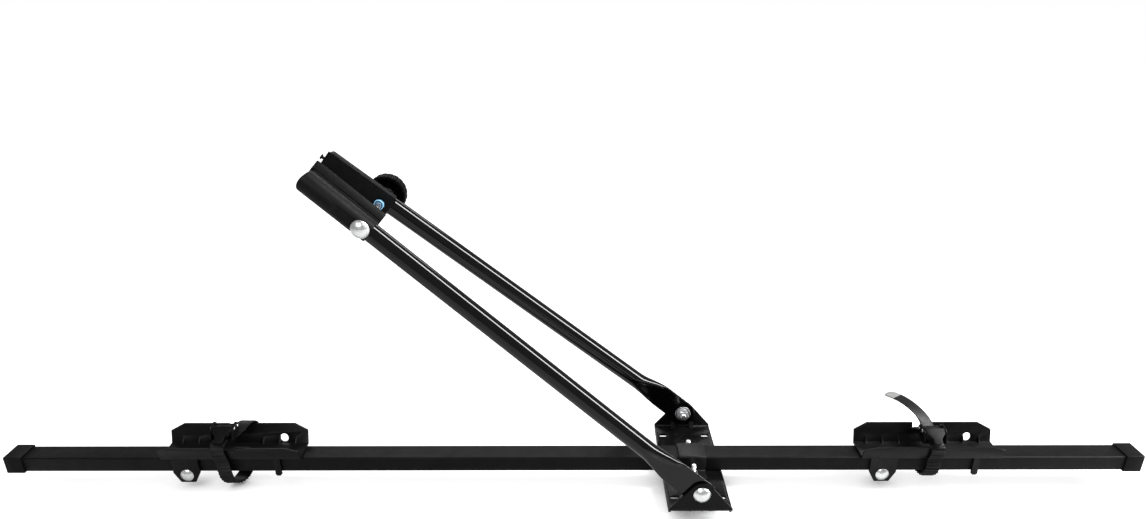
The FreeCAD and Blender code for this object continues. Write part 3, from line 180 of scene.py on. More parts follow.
def buildFloor():
    lowest = cadBox[0][2] - stage["floorGap"]
    half = stage["floorSize"] / 2
    mesh = bpy.data.meshes.new("floor")
    mesh.from_pydata([(-half, -half, lowest), (half, -half, lowest),
                      (half, half, lowest), (-half, half, lowest)], [], [(0, 1, 2, 3)])
    mesh.materials.append(floorPaper())
    floor = bpy.data.objects.new("floor", mesh)
    bpy.context.scene.collection.objects.link(floor)


def buildLight():
    world = bpy.data.worlds.new("studio")
    world.use_nodes = True
    bpy.context.scene.world = world
    tree = world.node_tree
    tree.nodes.clear()
    room = tree.nodes.new("ShaderNodeBackground")
    room.inputs["Strength"].default_value = stage["worldLevel"]
    white = tree.nodes.new("ShaderNodeBackground")
    white.inputs["Color"].default_value = (1, 1, 1, 1)
    choice = tree.nodes.new("ShaderNodeMixShader")
    output = tree.nodes.new("ShaderNodeOutputWorld")
    tree.links.new(isRay(tree, "Is Camera Ray", "Is Transmission Ray"), choice.inputs[0])
    tree.links.new(room.outputs[0], choice.inputs[1])
    tree.links.new(white.outputs[0], choice.inputs[2])
    tree.links.new(choice.outputs[0], output.inputs["Surface"])
    for name, place, size, power, target in stage["lamps"]:
        data = bpy.data.lights.new(name, "AREA")
        data.shape = "RECTANGLE"
        data.size, data.size_y = size
        data.energy = power
        lamp = bpy.data.objects.new(name, data)
        lamp.location = place
        aim = np.array(target) - np.array(place)
        lamp.rotation_euler = (math.atan2(math.hypot(aim[0], aim[1]), -aim[2]), 0.0,
                               math.atan2(aim[1], aim[0]) - math.pi / 2)
        bpy.context.scene.collection.objects.link(lamp)


bpy.context.scene.view_settings.view_transform = "Standard"
buildCamera()
buildFloor()
buildLight()
print("stage ready")

# Surfaces: each is one shader with mottled colour, uneven gloss and a fine grain

mottle = {
    "patchDetail": 4.0,
    "patchRange": (0.35, 0.70),  # of the noise, from the colour to that of the patches
    "glossDetail": 3.0,
    "glossRange": (0.3, 0.7),  # of the noise, over the range of roughness
    "glossShare": 0.45,        # size of the gloss patches by that of the colour patches
    "grainDetail": 2.0,
}

surfaces = {
    # colour and that of its lighter patches, their size, roughness from and to, the grain's
    # size and height in metres, and the shader's own fixed values
    "railPaint": {"colour": (0.0036, 0.0036, 0.0038), "patches": (0.0056, 0.0056, 0.0059),
                  "patchSize": 0.020, "rough": (0.36, 0.46), "grainSize": 0.0009,
                  "grainHeight": 0.00003, "specular": 0.09},
    "glossPaint": {"colour": (0.0010, 0.0010, 0.0011), "patches": (0.0018, 0.0018, 0.0020),
                   "patchSize": 0.035, "rough": (0.06, 0.10), "grainSize": 0.0035,
                   "grainHeight": 0.000006, "specular": 0.34},
    "sheetPaint": {"colour": (0.0026, 0.0026, 0.0028), "patches": (0.0042, 0.0042, 0.0045),
                   "patchSize": 0.018, "rough": (0.24, 0.34), "grainSize": 0.0022,
                   "grainHeight": 0.00003, "specular": 0.12},
    "satinPaint": {"colour": (0.0046, 0.0046, 0.0049), "patches": (0.0070, 0.0070, 0.0074),
                   "patchSize": 0.012, "rough": (0.34, 0.44), "grainSize": 0.0016,
                   "grainHeight": 0.00003, "specular": 0.20},
    "capPlastic": {"colour": (0.0036, 0.0036, 0.0036), "patches": (0.0056, 0.0056, 0.0056),
                   "patchSize": 0.008, "rough": (0.48, 0.6), "grainSize": 0.0006,
                   "grainHeight": 0.00004, "specular": 0.10},
    "jawPlastic": {"colour": (0.0036, 0.0036, 0.0039), "patches": (0.0060, 0.0060, 0.0063),
                   "patchSize": 0.012, "rough": (0.42, 0.54), "grainSize": 0.0008,
                   "grainHeight": 0.00005, "specular": 0.12},
    "padRubber": {"colour": (0.0026, 0.0026, 0.0028), "patches": (0.0042, 0.0042, 0.0045),
                  "patchSize": 0.009, "rough": (0.42, 0.55), "grainSize": 0.0007,
                  "grainHeight": 0.00005, "specular": 0.09},
    "knobPlastic": {"colour": (0.0016, 0.0016, 0.0017), "patches": (0.0026, 0.0026, 0.0028),
                    "patchSize": 0.007, "rough": (0.45, 0.6), "grainSize": 0.0006,
                    "grainHeight": 0.00005, "specular": 0.04},
    "trayPlastic": {"colour": (0.0028, 0.0028, 0.0030), "patches": (0.0046, 0.0046, 0.0049),
                    "patchSize": 0.011, "rough": (0.30, 0.42), "grainSize": 0.0008,
                    "grainHeight": 0.00004, "specular": 0.14},
    "strapPlastic": {"colour": (0.0034, 0.0034, 0.0036), "patches": (0.0056, 0.0056, 0.0059),
                     "patchSize": 0.006, "rough": (0.36, 0.48), "grainSize": 0.0007,
                     "grainHeight": 0.00003, "specular": 0.20},
    "strapTip": {"colour": (0.20, 0.20, 0.20), "patches": (0.27, 0.27, 0.265),
                 "patchSize": 0.004, "rough": (0.4, 0.5), "grainSize": 0.0005,
                 "grainHeight": 0.00003, "specular": 0.3},
    "bucklePlastic": {"colour": (0.0028, 0.0028, 0.0030), "patches": (0.0044, 0.0044, 0.0047),
                      "patchSize": 0.005, "rough": (0.36, 0.46), "grainSize": 0.0009,
                      "grainHeight": 0.00002, "specular": 0.09},
    "blueNylon": {"colour": (0.22, 0.50, 0.78), "patches": (0.32, 0.62, 0.88),
                  "patchSize": 0.003, "rough": (0.24, 0.36), "grainSize": 0.0005,
                  "grainHeight": 0.00001, "specular": 0.5},
    "darkZinc": {"colour": (0.030, 0.030, 0.031), "patches": (0.045, 0.045, 0.046),
                 "patchSize": 0.004, "rough": (0.36, 0.48), "grainSize": 0.0006,
                 "grainHeight": 0.000010, "specular": 0.5, "metal": 1.0},
    "zincPlate": {"colour": (0.80, 0.81, 0.82), "patches": (0.90, 0.90, 0.90),
                  "patchSize": 0.004, "rough": (0.24, 0.38), "grainSize": 0.0006,
                  "grainHeight": 0.000010, "specular": 0.5, "metal": 1.0},
}


def buildSurface(name):
    look = surfaces[name]
    material = bpy.data.materials.new(name)
    material.use_nodes = True
    tree = material.node_tree
    shader = tree.nodes["Principled BSDF"]
    shader.inputs["Metallic"].default_value = look.get("metal", 0.0)
    shader.inputs["Specular IOR Level"].default_value = look["specular"]
    place = tree.nodes.new("ShaderNodeTexCoord").outputs["Object"]

    def noise(size, detail):
        node = tree.nodes.new("ShaderNodeTexNoise")
        node.inputs["Scale"].default_value = 1.0 / size
        node.inputs["Detail"].default_value = detail
        tree.links.new(place, node.inputs["Vector"])
        return node.outputs["Fac"]

    spread = tree.nodes.new("ShaderNodeValToRGB")
    for stop, position, colour in zip(spread.color_ramp.elements, mottle["patchRange"],
                                      (look["colour"], look["patches"])):
        stop.position = position
        stop.color = (*colour, 1)
    tree.links.new(noise(look["patchSize"], mottle["patchDetail"]), spread.inputs["Fac"])
    tree.links.new(spread.outputs["Color"], shader.inputs["Base Color"])
    gloss = tree.nodes.new("ShaderNodeMapRange")
    gloss.inputs["From Min"].default_value = mottle["glossRange"][0]
    gloss.inputs["From Max"].default_value = mottle["glossRange"][1]
    gloss.inputs["To Min"].default_value = look["rough"][0]
    gloss.inputs["To Max"].default_value = look["rough"][1]
    tree.links.new(noise(look["patchSize"] * mottle["glossShare"], mottle["glossDetail"]),
                   gloss.inputs["Value"])
    tree.links.new(gloss.outputs["Result"], shader.inputs["Roughness"])
    bump = tree.nodes.new("ShaderNodeBump")
    bump.inputs["Strength"].default_value = 1.0
    bump.inputs["Distance"].default_value = look["grainHeight"]
    tree.links.new(noise(look["grainSize"], mottle["grainDetail"]), bump.inputs["Height"])
    tree.links.new(bump.outputs["Normal"], shader.inputs["Normal"])
    return material


materials = {name: buildSurface(name) for name in surfaces}

surfaceOf = {
    "rail_paint": "railPaint", "sheet_paint": "sheetPaint", "arm_paint": "glossPaint",
    "cap_plastic": "capPlastic", "jaw_plastic": "jawPlastic", "pad_rubber": "padRubber",
    "knob_plastic": "knobPlastic", "blue_nylon": "blueNylon", "zinc": "zincPlate",
    "tray_plastic": "trayPlastic", "strap_plastic": "strapPlastic",
    "buckle_plastic": "bucklePlastic",
}


def dressNodes():
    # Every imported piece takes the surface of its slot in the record.
    for node, part in packedParts.items():
        nodes[node].data.materials.clear()
        nodes[node].data.materials.append(materials[surfaceOf[part["material_slot"]]])


dressNodes()
print("surfaces ready:", len(materials))

# Mesh helpers: a new piece is one or more grids of points, worked out as whole arrays

mergeDistance = 1e-6


def gridFaces(rows, columns):
    # One quad for each cell of a grid whose rows close on themselves.
    r = np.arange(rows - 1)[:, None] * columns
    c = np.arange(columns)[None, :]
    after = (c + 1) % columns
    quads = np.stack([r + c, r + after, r + columns + after, r + columns + c], -1)
    return quads.reshape(-1, 4)


def addMesh(name, grids, surface, sharp=38.0):
    # Puts the grids into one mesh, merges their poles and turns the faces outwards. Edges
    # that bend by more than sharp, in degrees, stay crisp.
    points, faces, start = [], [], 0
    for grid in grids:
        rows, columns = grid.shape[:2]
        points.append(grid.reshape(-1, 3))
        faces.append(gridFaces(rows, columns) + start)
        start += rows * columns
    mesh = bpy.data.meshes.new(name)
    mesh.from_pydata(np.concatenate(points).tolist(), [], np.concatenate(faces).tolist())
    work = bmesh.new()
    work.from_mesh(mesh)
    bmesh.ops.remove_doubles(work, verts=work.verts, dist=mergeDistance)
    bmesh.ops.recalc_face_normals(work, faces=work.faces)
    work.to_mesh(mesh)
    work.free()
    mesh.shade_smooth()
    mesh.set_sharp_from_angle(angle=math.radians(sharp))
    mesh.materials.append(materials[surface])
    piece = bpy.data.objects.new(name, mesh)
    bpy.context.scene.collection.objects.link(piece)
    return piece


def attach(piece, body, slotName, *replaced):
    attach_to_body(piece, body)
    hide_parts(*replaced)


def smoothStep(x):
    x = np.clip(x, 0.0, 1.0)
    return x * x * (3 - 2 * x)


def runs(*stops):
    # Even steps from stop to stop; each stop is (value, steps to the next one).
    pieces = [np.linspace(a[0], b[0], a[1], endpoint=False) for a, b in zip(stops, stops[1:])]
    return np.concatenate(pieces + [[stops[-1][0]]])


def ringAngles(count):
    return np.linspace(0, 2 * math.pi, count, endpoint=False)


def squareRound(count, power):
    # Places round the curve |u|^power + |v|^power = 1, a square with rounded corners.
    a = ringAngles(count)[None, :]
    return [np.sign(f) * np.abs(f) ** (2 / power) for f in (np.cos(a), np.sin(a))]


def pathLengths(points):
    # The distance of each point along the path from the first.
    return np.concatenate([[0], np.cumsum(np.linalg.norm(np.diff(points, axis=0), axis=1))])


def bothEnds(end, length):
    # A ring's outline from that of its near end, given from the bore outwards.
    return end + [(radius, length - height) for radius, height in end[::-1]] + end[:1]


# Arms: round tubes pressed flat at the pivot, both lifted by one angle

arms = {
    "angle": math.radians(39.9),  # above the rail
    "lean": math.radians(4.88),  # of each arm towards the other
    "pivotHeight": 0.0255,
    "pivotOut": 0.0947,        # from the middle of the rail
    "tubeRadius": 0.011,
    "tubeWall": 0.0015,
    "flatHalfWidth": 0.0165,
    "flatHalfThick": 0.0015,
    "flatSquareness": 30,      # how square the flat bar's edges are
    "flatEnd": 0.037,          # from the pivot, where the neck starts
    "neckLength": 0.050,
    "valleyLag": 0.018,        # the middle of the neck stays pressed this much further
    "valleyPower": 1.3,
    "beadRadius": (0.0023, 0.0044),  # of the rolled edges, below and above
    "beadGrowth": 0.016,       # past the flat's end, until they are whole
    "boltReach": 0.4912,       # from the pivots' line to that of the clamp bolt
    "pastBolt": 0.072,         # how far the tube runs on
    "boreDepth": 0.03,         # drawn open, from the far end
    "around": 80,
    "tipRows": 28,
    "rows": (10, 100, 24),     # on the flat, the neck and the tube
    "neckRows": (0.033, 0.128),  # where those of the neck start and end
}
boltAlong = arms["boltReach"] / math.cos(arms["lean"])


def liftArms(points):
    # From the arms lying along -X to their stored angle: a turn about Y through the pivot.
    x, y, z = np.moveaxis(np.asarray(points, float), -1, 0)
    c, s = math.cos(arms["angle"]), math.sin(arms["angle"])
    return np.stack([x * c + z * s, y, -x * s + z * c + arms["pivotHeight"]], -1)


def alongArm(side, along, inward, up):
    # A place by its distance along the leaning tube, towards the other arm, and up.
    lean = side * arms["lean"]
    x, y = -along, -side * inward
    return liftArms(np.stack(np.broadcast_arrays(
        x * math.cos(lean) - y * math.sin(lean),
        x * math.sin(lean) + y * math.cos(lean) + side * arms["pivotOut"], up), -1))


def buildArm(name, side, body):
    # Rows are sections at the distance s from the pivot: up = w cos a, and across = the half
    # thickness of a bar with rolled edges, mixed with a tube's r |sin a| by a share that grows
    # along the neck, later in the middle than at the edges, so a valley runs into the tube.
    # The bar and its round beads are joined by the fourth root of the sum of their fourth
    # powers, which is smooth where one takes over from the other.
    half, radius = arms["flatHalfWidth"], arms["tubeRadius"]
    tubeEnd = boltAlong + arms["pastBolt"]
    neckFrom, neckTo = arms["neckRows"]
    s = runs((0.0, arms["rows"][0]), (neckFrom, arms["rows"][1]), (neckTo, arms["rows"][2]),
             (tubeEnd, 1))
    tipTurn = np.linspace(0, math.pi / 2, arms["tipRows"], endpoint=False)
    s = np.concatenate([-half * np.cos(tipTurn), s])[:, None]
    a = ringAngles(arms["around"])[None, :]
    edge = np.abs(np.cos(a))
    tip = np.sqrt(np.clip(1 - (np.minimum(s, 0) / half) ** 2, 0, 1))
    w = (half + (radius - half) * smoothStep((s - arms["flatEnd"]) / arms["neckLength"])) * tip
    lag = arms["valleyLag"] * (1 - edge ** arms["valleyPower"])
    share = smoothStep((s - arms["flatEnd"] - lag) / (arms["neckLength"] - arms["valleyLag"] / 2))
    squared = np.sqrt(np.clip(1 - edge ** arms["flatSquareness"], 0, 1))
    bar = arms["flatHalfThick"] * squared * (tip > 0)
    grown = smoothStep((s - arms["flatEnd"]) / arms["beadGrowth"])
    rolled = np.where(np.cos(a) > 0, arms["beadRadius"][1], arms["beadRadius"][0])
    bead = arms["flatHalfThick"] + (rolled - arms["flatHalfThick"]) * grown
    beadRise = np.sqrt(np.clip(bead ** 2 - (w * edge - (w - bead)) ** 2, 0, None)) * grown
    pressed = (bar ** 4 + beadRise ** 4) ** 0.25
    t = pressed * (1 - share) + radius * np.abs(np.sin(a)) * share
    centre = side * (arms["pivotOut"] - math.tan(arms["lean"]) * s
                     * smoothStep((s - arms["flatEnd"]) / arms["neckLength"]))
    outside = np.stack(np.broadcast_arrays(-s, centre + t * np.sign(np.sin(a)),
                                           w * np.cos(a)), -1)
    # The last rows turn in over the wall at the far end, and close some way down the bore.
    bore = radius - arms["tubeWall"]
    depth = np.array([0.0, 1.0, 1.0])[:, None] * arms["boreDepth"]
    reach = np.array([bore, bore, 0.0])[:, None]
    back = tubeEnd - depth
    inside = np.stack(np.broadcast_arrays(
        -back, side * (arms["pivotOut"] - math.tan(arms["lean"]) * back)
        + reach * np.sin(a), reach * np.cos(a)), -1)
    piece = addMesh(name + "_tube", [liftArms(np.concatenate([outside, inside]))],
                    "glossPaint", sharp=50)
    attach(piece, body, "arm_paint", name)


# Jaws: a sleeve on each tube that flares out to a hollow clamping face, with a pad

jaws = {
    "sleeve": 0.0129,          # its radius
    "groove": math.radians(17),  # where the flare leaves the sleeve, from the inward line
    "flareBack": (0.0155, 0.0100),  # a place on the flare's back: inward and up
    "socket": 0.0111,          # radius of its bore
    "depth": 0.024,            # from the tube's middle to the clamping face's edges
    "half": 0.018,             # of the face's height
    "lip": 0.001,              # flat edge beside the clamping face
    "hollow": 0.0035,          # of the face, at its middle
    "padDepth": 0.008,
    "padGap": 0.0002,          # on each side of the joint between jaw and pad
    "padCore": 0.72,           # of the pad's depth, where its ends close
    "foot": 0.011,             # below the clamp bolt
    "rise": 0.076,             # above the clamp bolt
    "padRise": 0.080,
    "arcPoints": {"flare": 160, "sleeve": 200, "face": 120},
    "outlinePoints": 260,
    "cornerBlur": 1.2,         # outline points that each corner is averaged over
    "topRound": 0.0022,
    "topBulge": 0.0024,        # of the sleeve's upper end, across its middle
    "bulgeRun": 0.012,         # below that end, over which the bulge comes up
    "footRound": 0.0012,
    "facetEnd": 0.036,         # the flat under the bolt's head, past the bolt
    "facetFade": 0.005,
    "facetDepth": 0.0015,
    "facetRows": 44,
    "facetMargin": (0.0005, 0.001),  # from the foot's round to the first row, and past the flat
}
blurWindow = 8                 # outline points on each side that a corner's mean reaches
endSteps = 7                   # outlines in the quarter round at a bar's end


def arcThrough(one, two, three, count):
    # Points on the circle through three points, from the first to the last.
    (ax, ay), (bx, by), (cx, cy) = one, two, three
    d = 2 * (ax * (by - cy) + bx * (cy - ay) + cx * (ay - by))
    a2, b2, c2 = ax * ax + ay * ay, bx * bx + by * by, cx * cx + cy * cy
    ux = (a2 * (by - cy) + b2 * (cy - ay) + c2 * (ay - by)) / d
    uy = (a2 * (cx - bx) + b2 * (ax - cx) + c2 * (bx - ax)) / d
    first, second, last = [math.atan2(y - uy, x - ux) for x, y in (one, two, three)]
    turn = (last - first) % (2 * math.pi)
    if (second - first) % (2 * math.pi) > turn:
        turn -= 2 * math.pi
    t = first + turn * np.linspace(0, 1, count)
    r = math.hypot(ax - ux, ay - uy)
    return np.stack([ux + r * np.cos(t), uy + r * np.sin(t)], -1)


def softOutline(points, count, blur):
    # The closed outline at equal steps, each point a bell-weighted mean of its neighbours.
    loop = np.concatenate([points, points[:1]])
    reach = pathLengths(loop)
    at = np.linspace(0, reach[-1], count, endpoint=False)
    even = np.stack([np.interp(at, reach, loop[:, k]) for k in range(2)], -1)
    shifts = np.arange(-blurWindow, blurWindow + 1)
    weights = np.exp(-0.5 * (shifts / blur) ** 2)
    return sum(w * np.roll(even, k, axis=0) for w, k in zip(weights / weights.sum(), shifts))


def drawnIn(outline, distance):
    # The outline moved inwards along its own normals.
    along = np.roll(outline, -1, axis=0) - np.roll(outline, 1, axis=0)
    normal = np.stack([along[:, 1], -along[:, 0]], -1)
    return outline - normal / np.linalg.norm(normal, axis=1, keepdims=True) * distance


def roundEnds(outline, start, end, startRound, endRound, middle, steps=endSteps):
    # Stations along a bar and its outline at each, with a quarter round at both ends: there
    # the outline is drawn in by r (1 - cos t) at the distance r (1 - sin t) from the end.
    def quarter(place, way, radius):
        return [(place + way * radius * (1 - math.sin(t)),
                 drawnIn(outline, radius * (1 - math.cos(t))))
                for t in np.linspace(0, math.pi / 2, steps)]

    return (quarter(start, 1, startRound)[::-1] + [(station, outline) for station in middle]
            + quarter(end, -1, endRound))


def rowArrays(rows):
    along = np.array([row[0] for row in rows])[:, None]
    shape = np.array([row[1] for row in rows])
    return along, shape[..., 0], shape[..., 1]


def jawOutlines():
    # The section's two parts, anticlockwise: sleeve with flare, and pad with hollow face.
    sleeve, depth, half = jaws["sleeve"], jaws["depth"], jaws["half"]
    root = (sleeve * math.cos(jaws["groove"]), sleeve * math.sin(jaws["groove"]))
    count = jaws["arcPoints"]
    upper = arcThrough((depth - jaws["lip"], half), jaws["flareBack"], root, count["flare"])
    lower = upper[::-1] * (1, -1)
    sleeveArc = arcThrough(root, (-sleeve, 0), (root[0], -root[1]), count["sleeve"])
    split, gap = depth - jaws["padDepth"], jaws["padGap"]
    body = np.concatenate([upper[upper[:, 0] <= split - gap], sleeveArc,
                           lower[lower[:, 0] <= split - gap]])
    face = arcThrough((depth, -half), (depth - jaws["hollow"], 0), (depth, half), count["face"])
    pad = np.concatenate([lower[lower[:, 0] >= split + gap], face,
                          upper[upper[:, 0] >= split + gap]])
    return [softOutline(part, jaws["outlinePoints"], jaws["cornerBlur"]) for part in (body, pad)]


def buildJaw(name, side, body):
    # The jaw: rows of its outline along the arm, from the socket's wall over the foot, up the
    # outside and over the top into the socket again.
    low, rise = boltAlong - jaws["foot"], boltAlong + jaws["rise"]
    outline, padOutline = jawOutlines()
    turn = np.arctan2(outline[:, 1], outline[:, 0])
    socket = np.stack([np.cos(turn), np.sin(turn)], -1) * jaws["socket"]
    before, after = jaws["facetMargin"]
    middle = np.linspace(low + jaws["footRound"] + before, boltAlong + jaws["facetEnd"] + after,
                         jaws["facetRows"])
    rows = roundEnds(outline, low, rise, jaws["footRound"], jaws["topRound"], middle)
    rows = [(low, socket)] + rows + [(rise, socket), (low, socket)]
    along, inward, up = rowArrays(rows)
    # The upper end bulges by a parabola across the sleeve.
    middling = np.clip(1 - (up / jaws["sleeve"]) ** 2, 0, 1)
    along = along + jaws["topBulge"] * middling * smoothStep(1 + (along - rise) / jaws["bulgeRun"])
    # The flat under the bolt's head runs out up the sleeve.
    ease = smoothStep((boltAlong + jaws["facetEnd"] - along) / jaws["facetFade"])
    inward = np.maximum(inward, -(jaws["sleeve"] - jaws["facetDepth"] * ease))
    shell = [alongArm(side, along, inward, up)]
    piece = addMesh(name + "_jaw_shell", shell, "jawPlastic", sharp=24)
    attach(piece, body, "jaw_plastic", name + "_jaw")
    padTop = boltAlong + jaws["padRise"]
    rows = roundEnds(padOutline, low, padTop, jaws["footRound"], jaws["topRound"], [])
    core = np.broadcast_to((jaws["depth"] - jaws["padDepth"] * jaws["padCore"], 0.0),
                           padOutline.shape)
    rows = [(low, core)] + rows + [(padTop, core)]
    grids = [alongArm(side, *rowArrays(rows))]
    if side > 0:
        grids.append(pegGrid(side, padTop))
    pad = addMesh(name + "_pad_rubber", grids, "padRubber")
    attach(pad, body, "pad_rubber", name + "_pad")


peg = {
    "inward": 0.0192,
    "up": 0.006,
    # radius and height of the mushroom's turned outline
    "outline": [(0, -0.0010), (0.0018, -0.0010), (0.0017, 0.0020), (0.0029, 0.0022),
                (0.0032, 0.0026), (0.0032, 0.0034), (0.0026, 0.0040), (0.0014, 0.0042),
                (0, 0.0042)],
    "around": 28,
}


def pegGrid(side, foot):
    # A turned outline: each point of it goes round the peg's own line along the arm.
    r, h = np.array(peg["outline"]).T[:, :, None]
    a = ringAngles(peg["around"])[None, :]
    return alongArm(side, foot + h + 0 * a, peg["inward"] + r * np.cos(a),
                    peg["up"] + r * np.sin(a))


for armName, armSide in (("front", -1), ("back", 1)):
    buildArm(armName + "_arm", armSide, armName + "_clamp")
    buildJaw(armName, armSide, armName + "_clamp")
print("arms and jaws ready")

# Turned pieces: bolts, nuts, washers, bush and knob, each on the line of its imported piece

fasteners = {
    "around": 60,
    # bolts: shank and head diameter, head height, thread pitch
    "large": {"shank": 0.008, "head": 0.0204, "headHeight": 0.0053, "pitch": 0.00125},
    "small": {"shank": 0.006, "head": 0.0166, "headHeight": 0.0033, "pitch": 0.0010},
    "stud": {"shank": 0.006, "head": 0.0094, "headHeight": 0.0015, "pitch": 0.0010},
    "rim": 0.0003,             # soft edge of a head
    "domeRows": 18,
    "threadShare": 0.55,       # depth of the thread by its pitch
    "threadLength": 0.016,
    "threadRows": 6,           # for each turn
    "plainShank": 0.001,       # under the head, at least
    "tipLength": 0.0006,       # chamfer at the bolt's end
    "tipShares": (0.94, 0.78),  # of the shank's radius, where the chamfer starts and ends
    # nuts: width across flats, radius of the bore
    "largeNut": {"across": 0.013, "bore": 0.0038},
    "smallNut": {"across": 0.010, "bore": 0.0028},
    "nutAround": 72,
    "nutFace": 0.94,           # circle of the end face, by half the width
    "nutChamfer": math.radians(30),
    "nutSoft": 0.006,          # soft outer edge, by the width
    "nutLead": 0.035,          # lead into the bore, by the width
    "saddleNutTurn": math.radians(15),
    # rings: outside and bore radius, rounded edge
    "washer": {"outside": 0.0105, "bore": 0.0041, "soft": 0.0003},
    "bush": {"outside": 0.00585, "bore": 0.0046, "soft": 0.0005},
    "ringEase": 0.3,           # the middle of a rounded edge, by its size
}


def axisOf(node, axis, fromLow):
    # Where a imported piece's line starts, which way it runs, and how long it is.
    low, high = [np.array(corner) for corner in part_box(node)]
    start = (low + high) / 2
    start[axis] = low[axis] if fromLow else high[axis]
    way = np.zeros(3)
    way[axis] = 1.0 if fromLow else -1.0
    return start, way, high[axis] - low[axis]


def turnedGrid(start, way, radius, height, angles, tilt=0.0):
    # Rows go up the line by height, columns go round it by radius; tilt turns the first
    # column, which otherwise looks along X.
    first = np.array([math.cos(tilt), 0.0, -math.sin(tilt)])
    second = np.cross(way, first)
    radius, height, angles = [np.asarray(each)[..., None] for each in
                              np.broadcast_arrays(radius, height, angles)]
    return start + way * height + radius * (first * np.cos(angles) + second * np.sin(angles))


def buildBolt(name, node, body, kind, axis, fromLow, flatHead=False):
    # A spherical head with a small rim, a plain shank, and a helical thread near its end:
    # the radius there falls and rises with the distance along less the share of a turn.
    size = fasteners[kind]
    start, way, length = axisOf(node, axis, fromLow)
    head, headHeight, shank = size["head"] / 2, size["headHeight"], size["shank"] / 2
    rim, tip = fasteners["rim"], length - fasteners["tipLength"]
    if flatHead:
        cap = [(0, 0), (head - rim, 0), (head, rim)]
    else:
        ball = (head ** 2 + headHeight ** 2) / (2 * headHeight)
        turn = np.linspace(0, math.asin((head - rim) / ball), fasteners["domeRows"])
        cap = list(zip(ball * np.sin(turn), ball * (1 - np.cos(turn))))
        cap += [(head, cap[-1][1] + rim)]
    rows = cap + [(head, headHeight - rim / 2), (head - rim, headHeight), (shank, headHeight)]
    threadStart = max(length - fasteners["threadLength"], headHeight + fasteners["plainShank"])
    rows += [(shank, height) for height in
             np.arange(threadStart, tip, size["pitch"] / fasteners["threadRows"])]
    tipFrom, tipTo = fasteners["tipShares"]
    rows += [(shank * tipFrom, tip), (shank * tipTo, length), (0, length)]
    radius, height = np.array(rows).T[:, :, None]
    angles = ringAngles(fasteners["around"])[None, :]
    phase = (height / size["pitch"] - angles / (2 * math.pi)) % 1.0
    depth = size["pitch"] * fasteners["threadShare"]
    threaded = (height >= threadStart) & (height < tip)
    radius = radius - depth * np.abs(2 * phase - 1) * threaded
    piece = addMesh(name, [turnedGrid(start, way, radius, height, angles)], "zincPlate", sharp=35)
    attach(piece, body, "zinc", node)


def buildNut(node, body, kind, axis=1, turn=0.0, tilt=0.0):
    # A hexagon: the radius is half the width across flats over the cosine of the angle from
    # the nearest flat's middle; past the end face's circle the ends fall off at the chamfer.
    start, way, length = axisOf(node, axis, True)
    across, bore = fasteners[kind]["across"], fasteners[kind]["bore"]
    angles = ringAngles(fasteners["nutAround"])[None, :]
    flat = across / 2
    corner = flat / np.cos((angles - turn) % (math.pi / 3) - math.pi / 6)
    face = flat * fasteners["nutFace"]
    drop = (corner - face) * math.tan(fasteners["nutChamfer"])
    soft, lead = across * fasteners["nutSoft"], across * fasteners["nutLead"]
    rows = bothEnds([(bore, lead), (bore + lead, 0), (face, 0), (corner - soft, drop),
                     (corner, drop + soft)], length)
    radius, height = [np.concatenate([np.broadcast_to(row[k], angles.shape) for row in rows])
                      for k in range(2)]
    grid = turnedGrid(start, way, radius, height, angles, tilt)
    attach(addMesh(node + "_hex", [grid], "zincPlate", sharp=24), body, "zinc", node)


def buildRing(node, body, kind, slotName, surface):
    # A flat ring for the washers and the bush: an outline of radius and height with rounded
    # edges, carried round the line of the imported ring.
    start, way, length = axisOf(node, 1, True)
    outside, bore, soft = [fasteners[kind][key] for key in ("outside", "bore", "soft")]
    ease = soft * fasteners["ringEase"]
    rows = bothEnds([(bore, soft), (bore + soft, 0), (outside - soft, 0), (outside - ease, ease),
                     (outside, soft)], length)
    radius, height = np.array(rows).T[:, :, None]
    grid = turnedGrid(start, way, radius, height, ringAngles(fasteners["around"])[None, :])
    attach(addMesh(node + "_ring", [grid], surface, sharp=50), body, slotName, node)


for end, outwardLow in (("front", True), ("back", False)):
    pivot = "pivot_bolt_" + end
    buildBolt(pivot + "_turned", pivot, "base", "large", 1, outwardLow)
    buildNut("pivot_nut_" + end, "base", "largeNut")
    buildRing("pivot_washer_" + end, "arm_washers", "washer", "zinc", "zincPlate")
    buildBolt("saddle_stud_" + end, "saddle_bolt_" + end, "base", "stud", 2, True, flatHead=True)
    buildNut("saddle_nut_" + end, "base", "smallNut", axis=2, turn=fasteners["saddleNutTurn"])
for side in ("left", "right"):
    lug = "tray_bolt_" + side
    buildBolt(lug + "_turned", lug, side + "_tray", "small", 1, True)
    buildNut("tray_nut_" + side, side + "_tray", "smallNut")
buildBolt("clamp_bolt_turned", "clamp_bolt", "bolt", "large", 1, True)
buildNut("knob_nut", "knob", "largeNut", tilt=arms["angle"])
buildRing("knob_washer", "knob_slide", "washer", "zinc", "darkZinc")
buildRing("jaw_bush", "back_clamp", "bush", "blue_nylon", "blueNylon")

# Knob: a cup with grip flutes and webs, its hollow side towards the arm

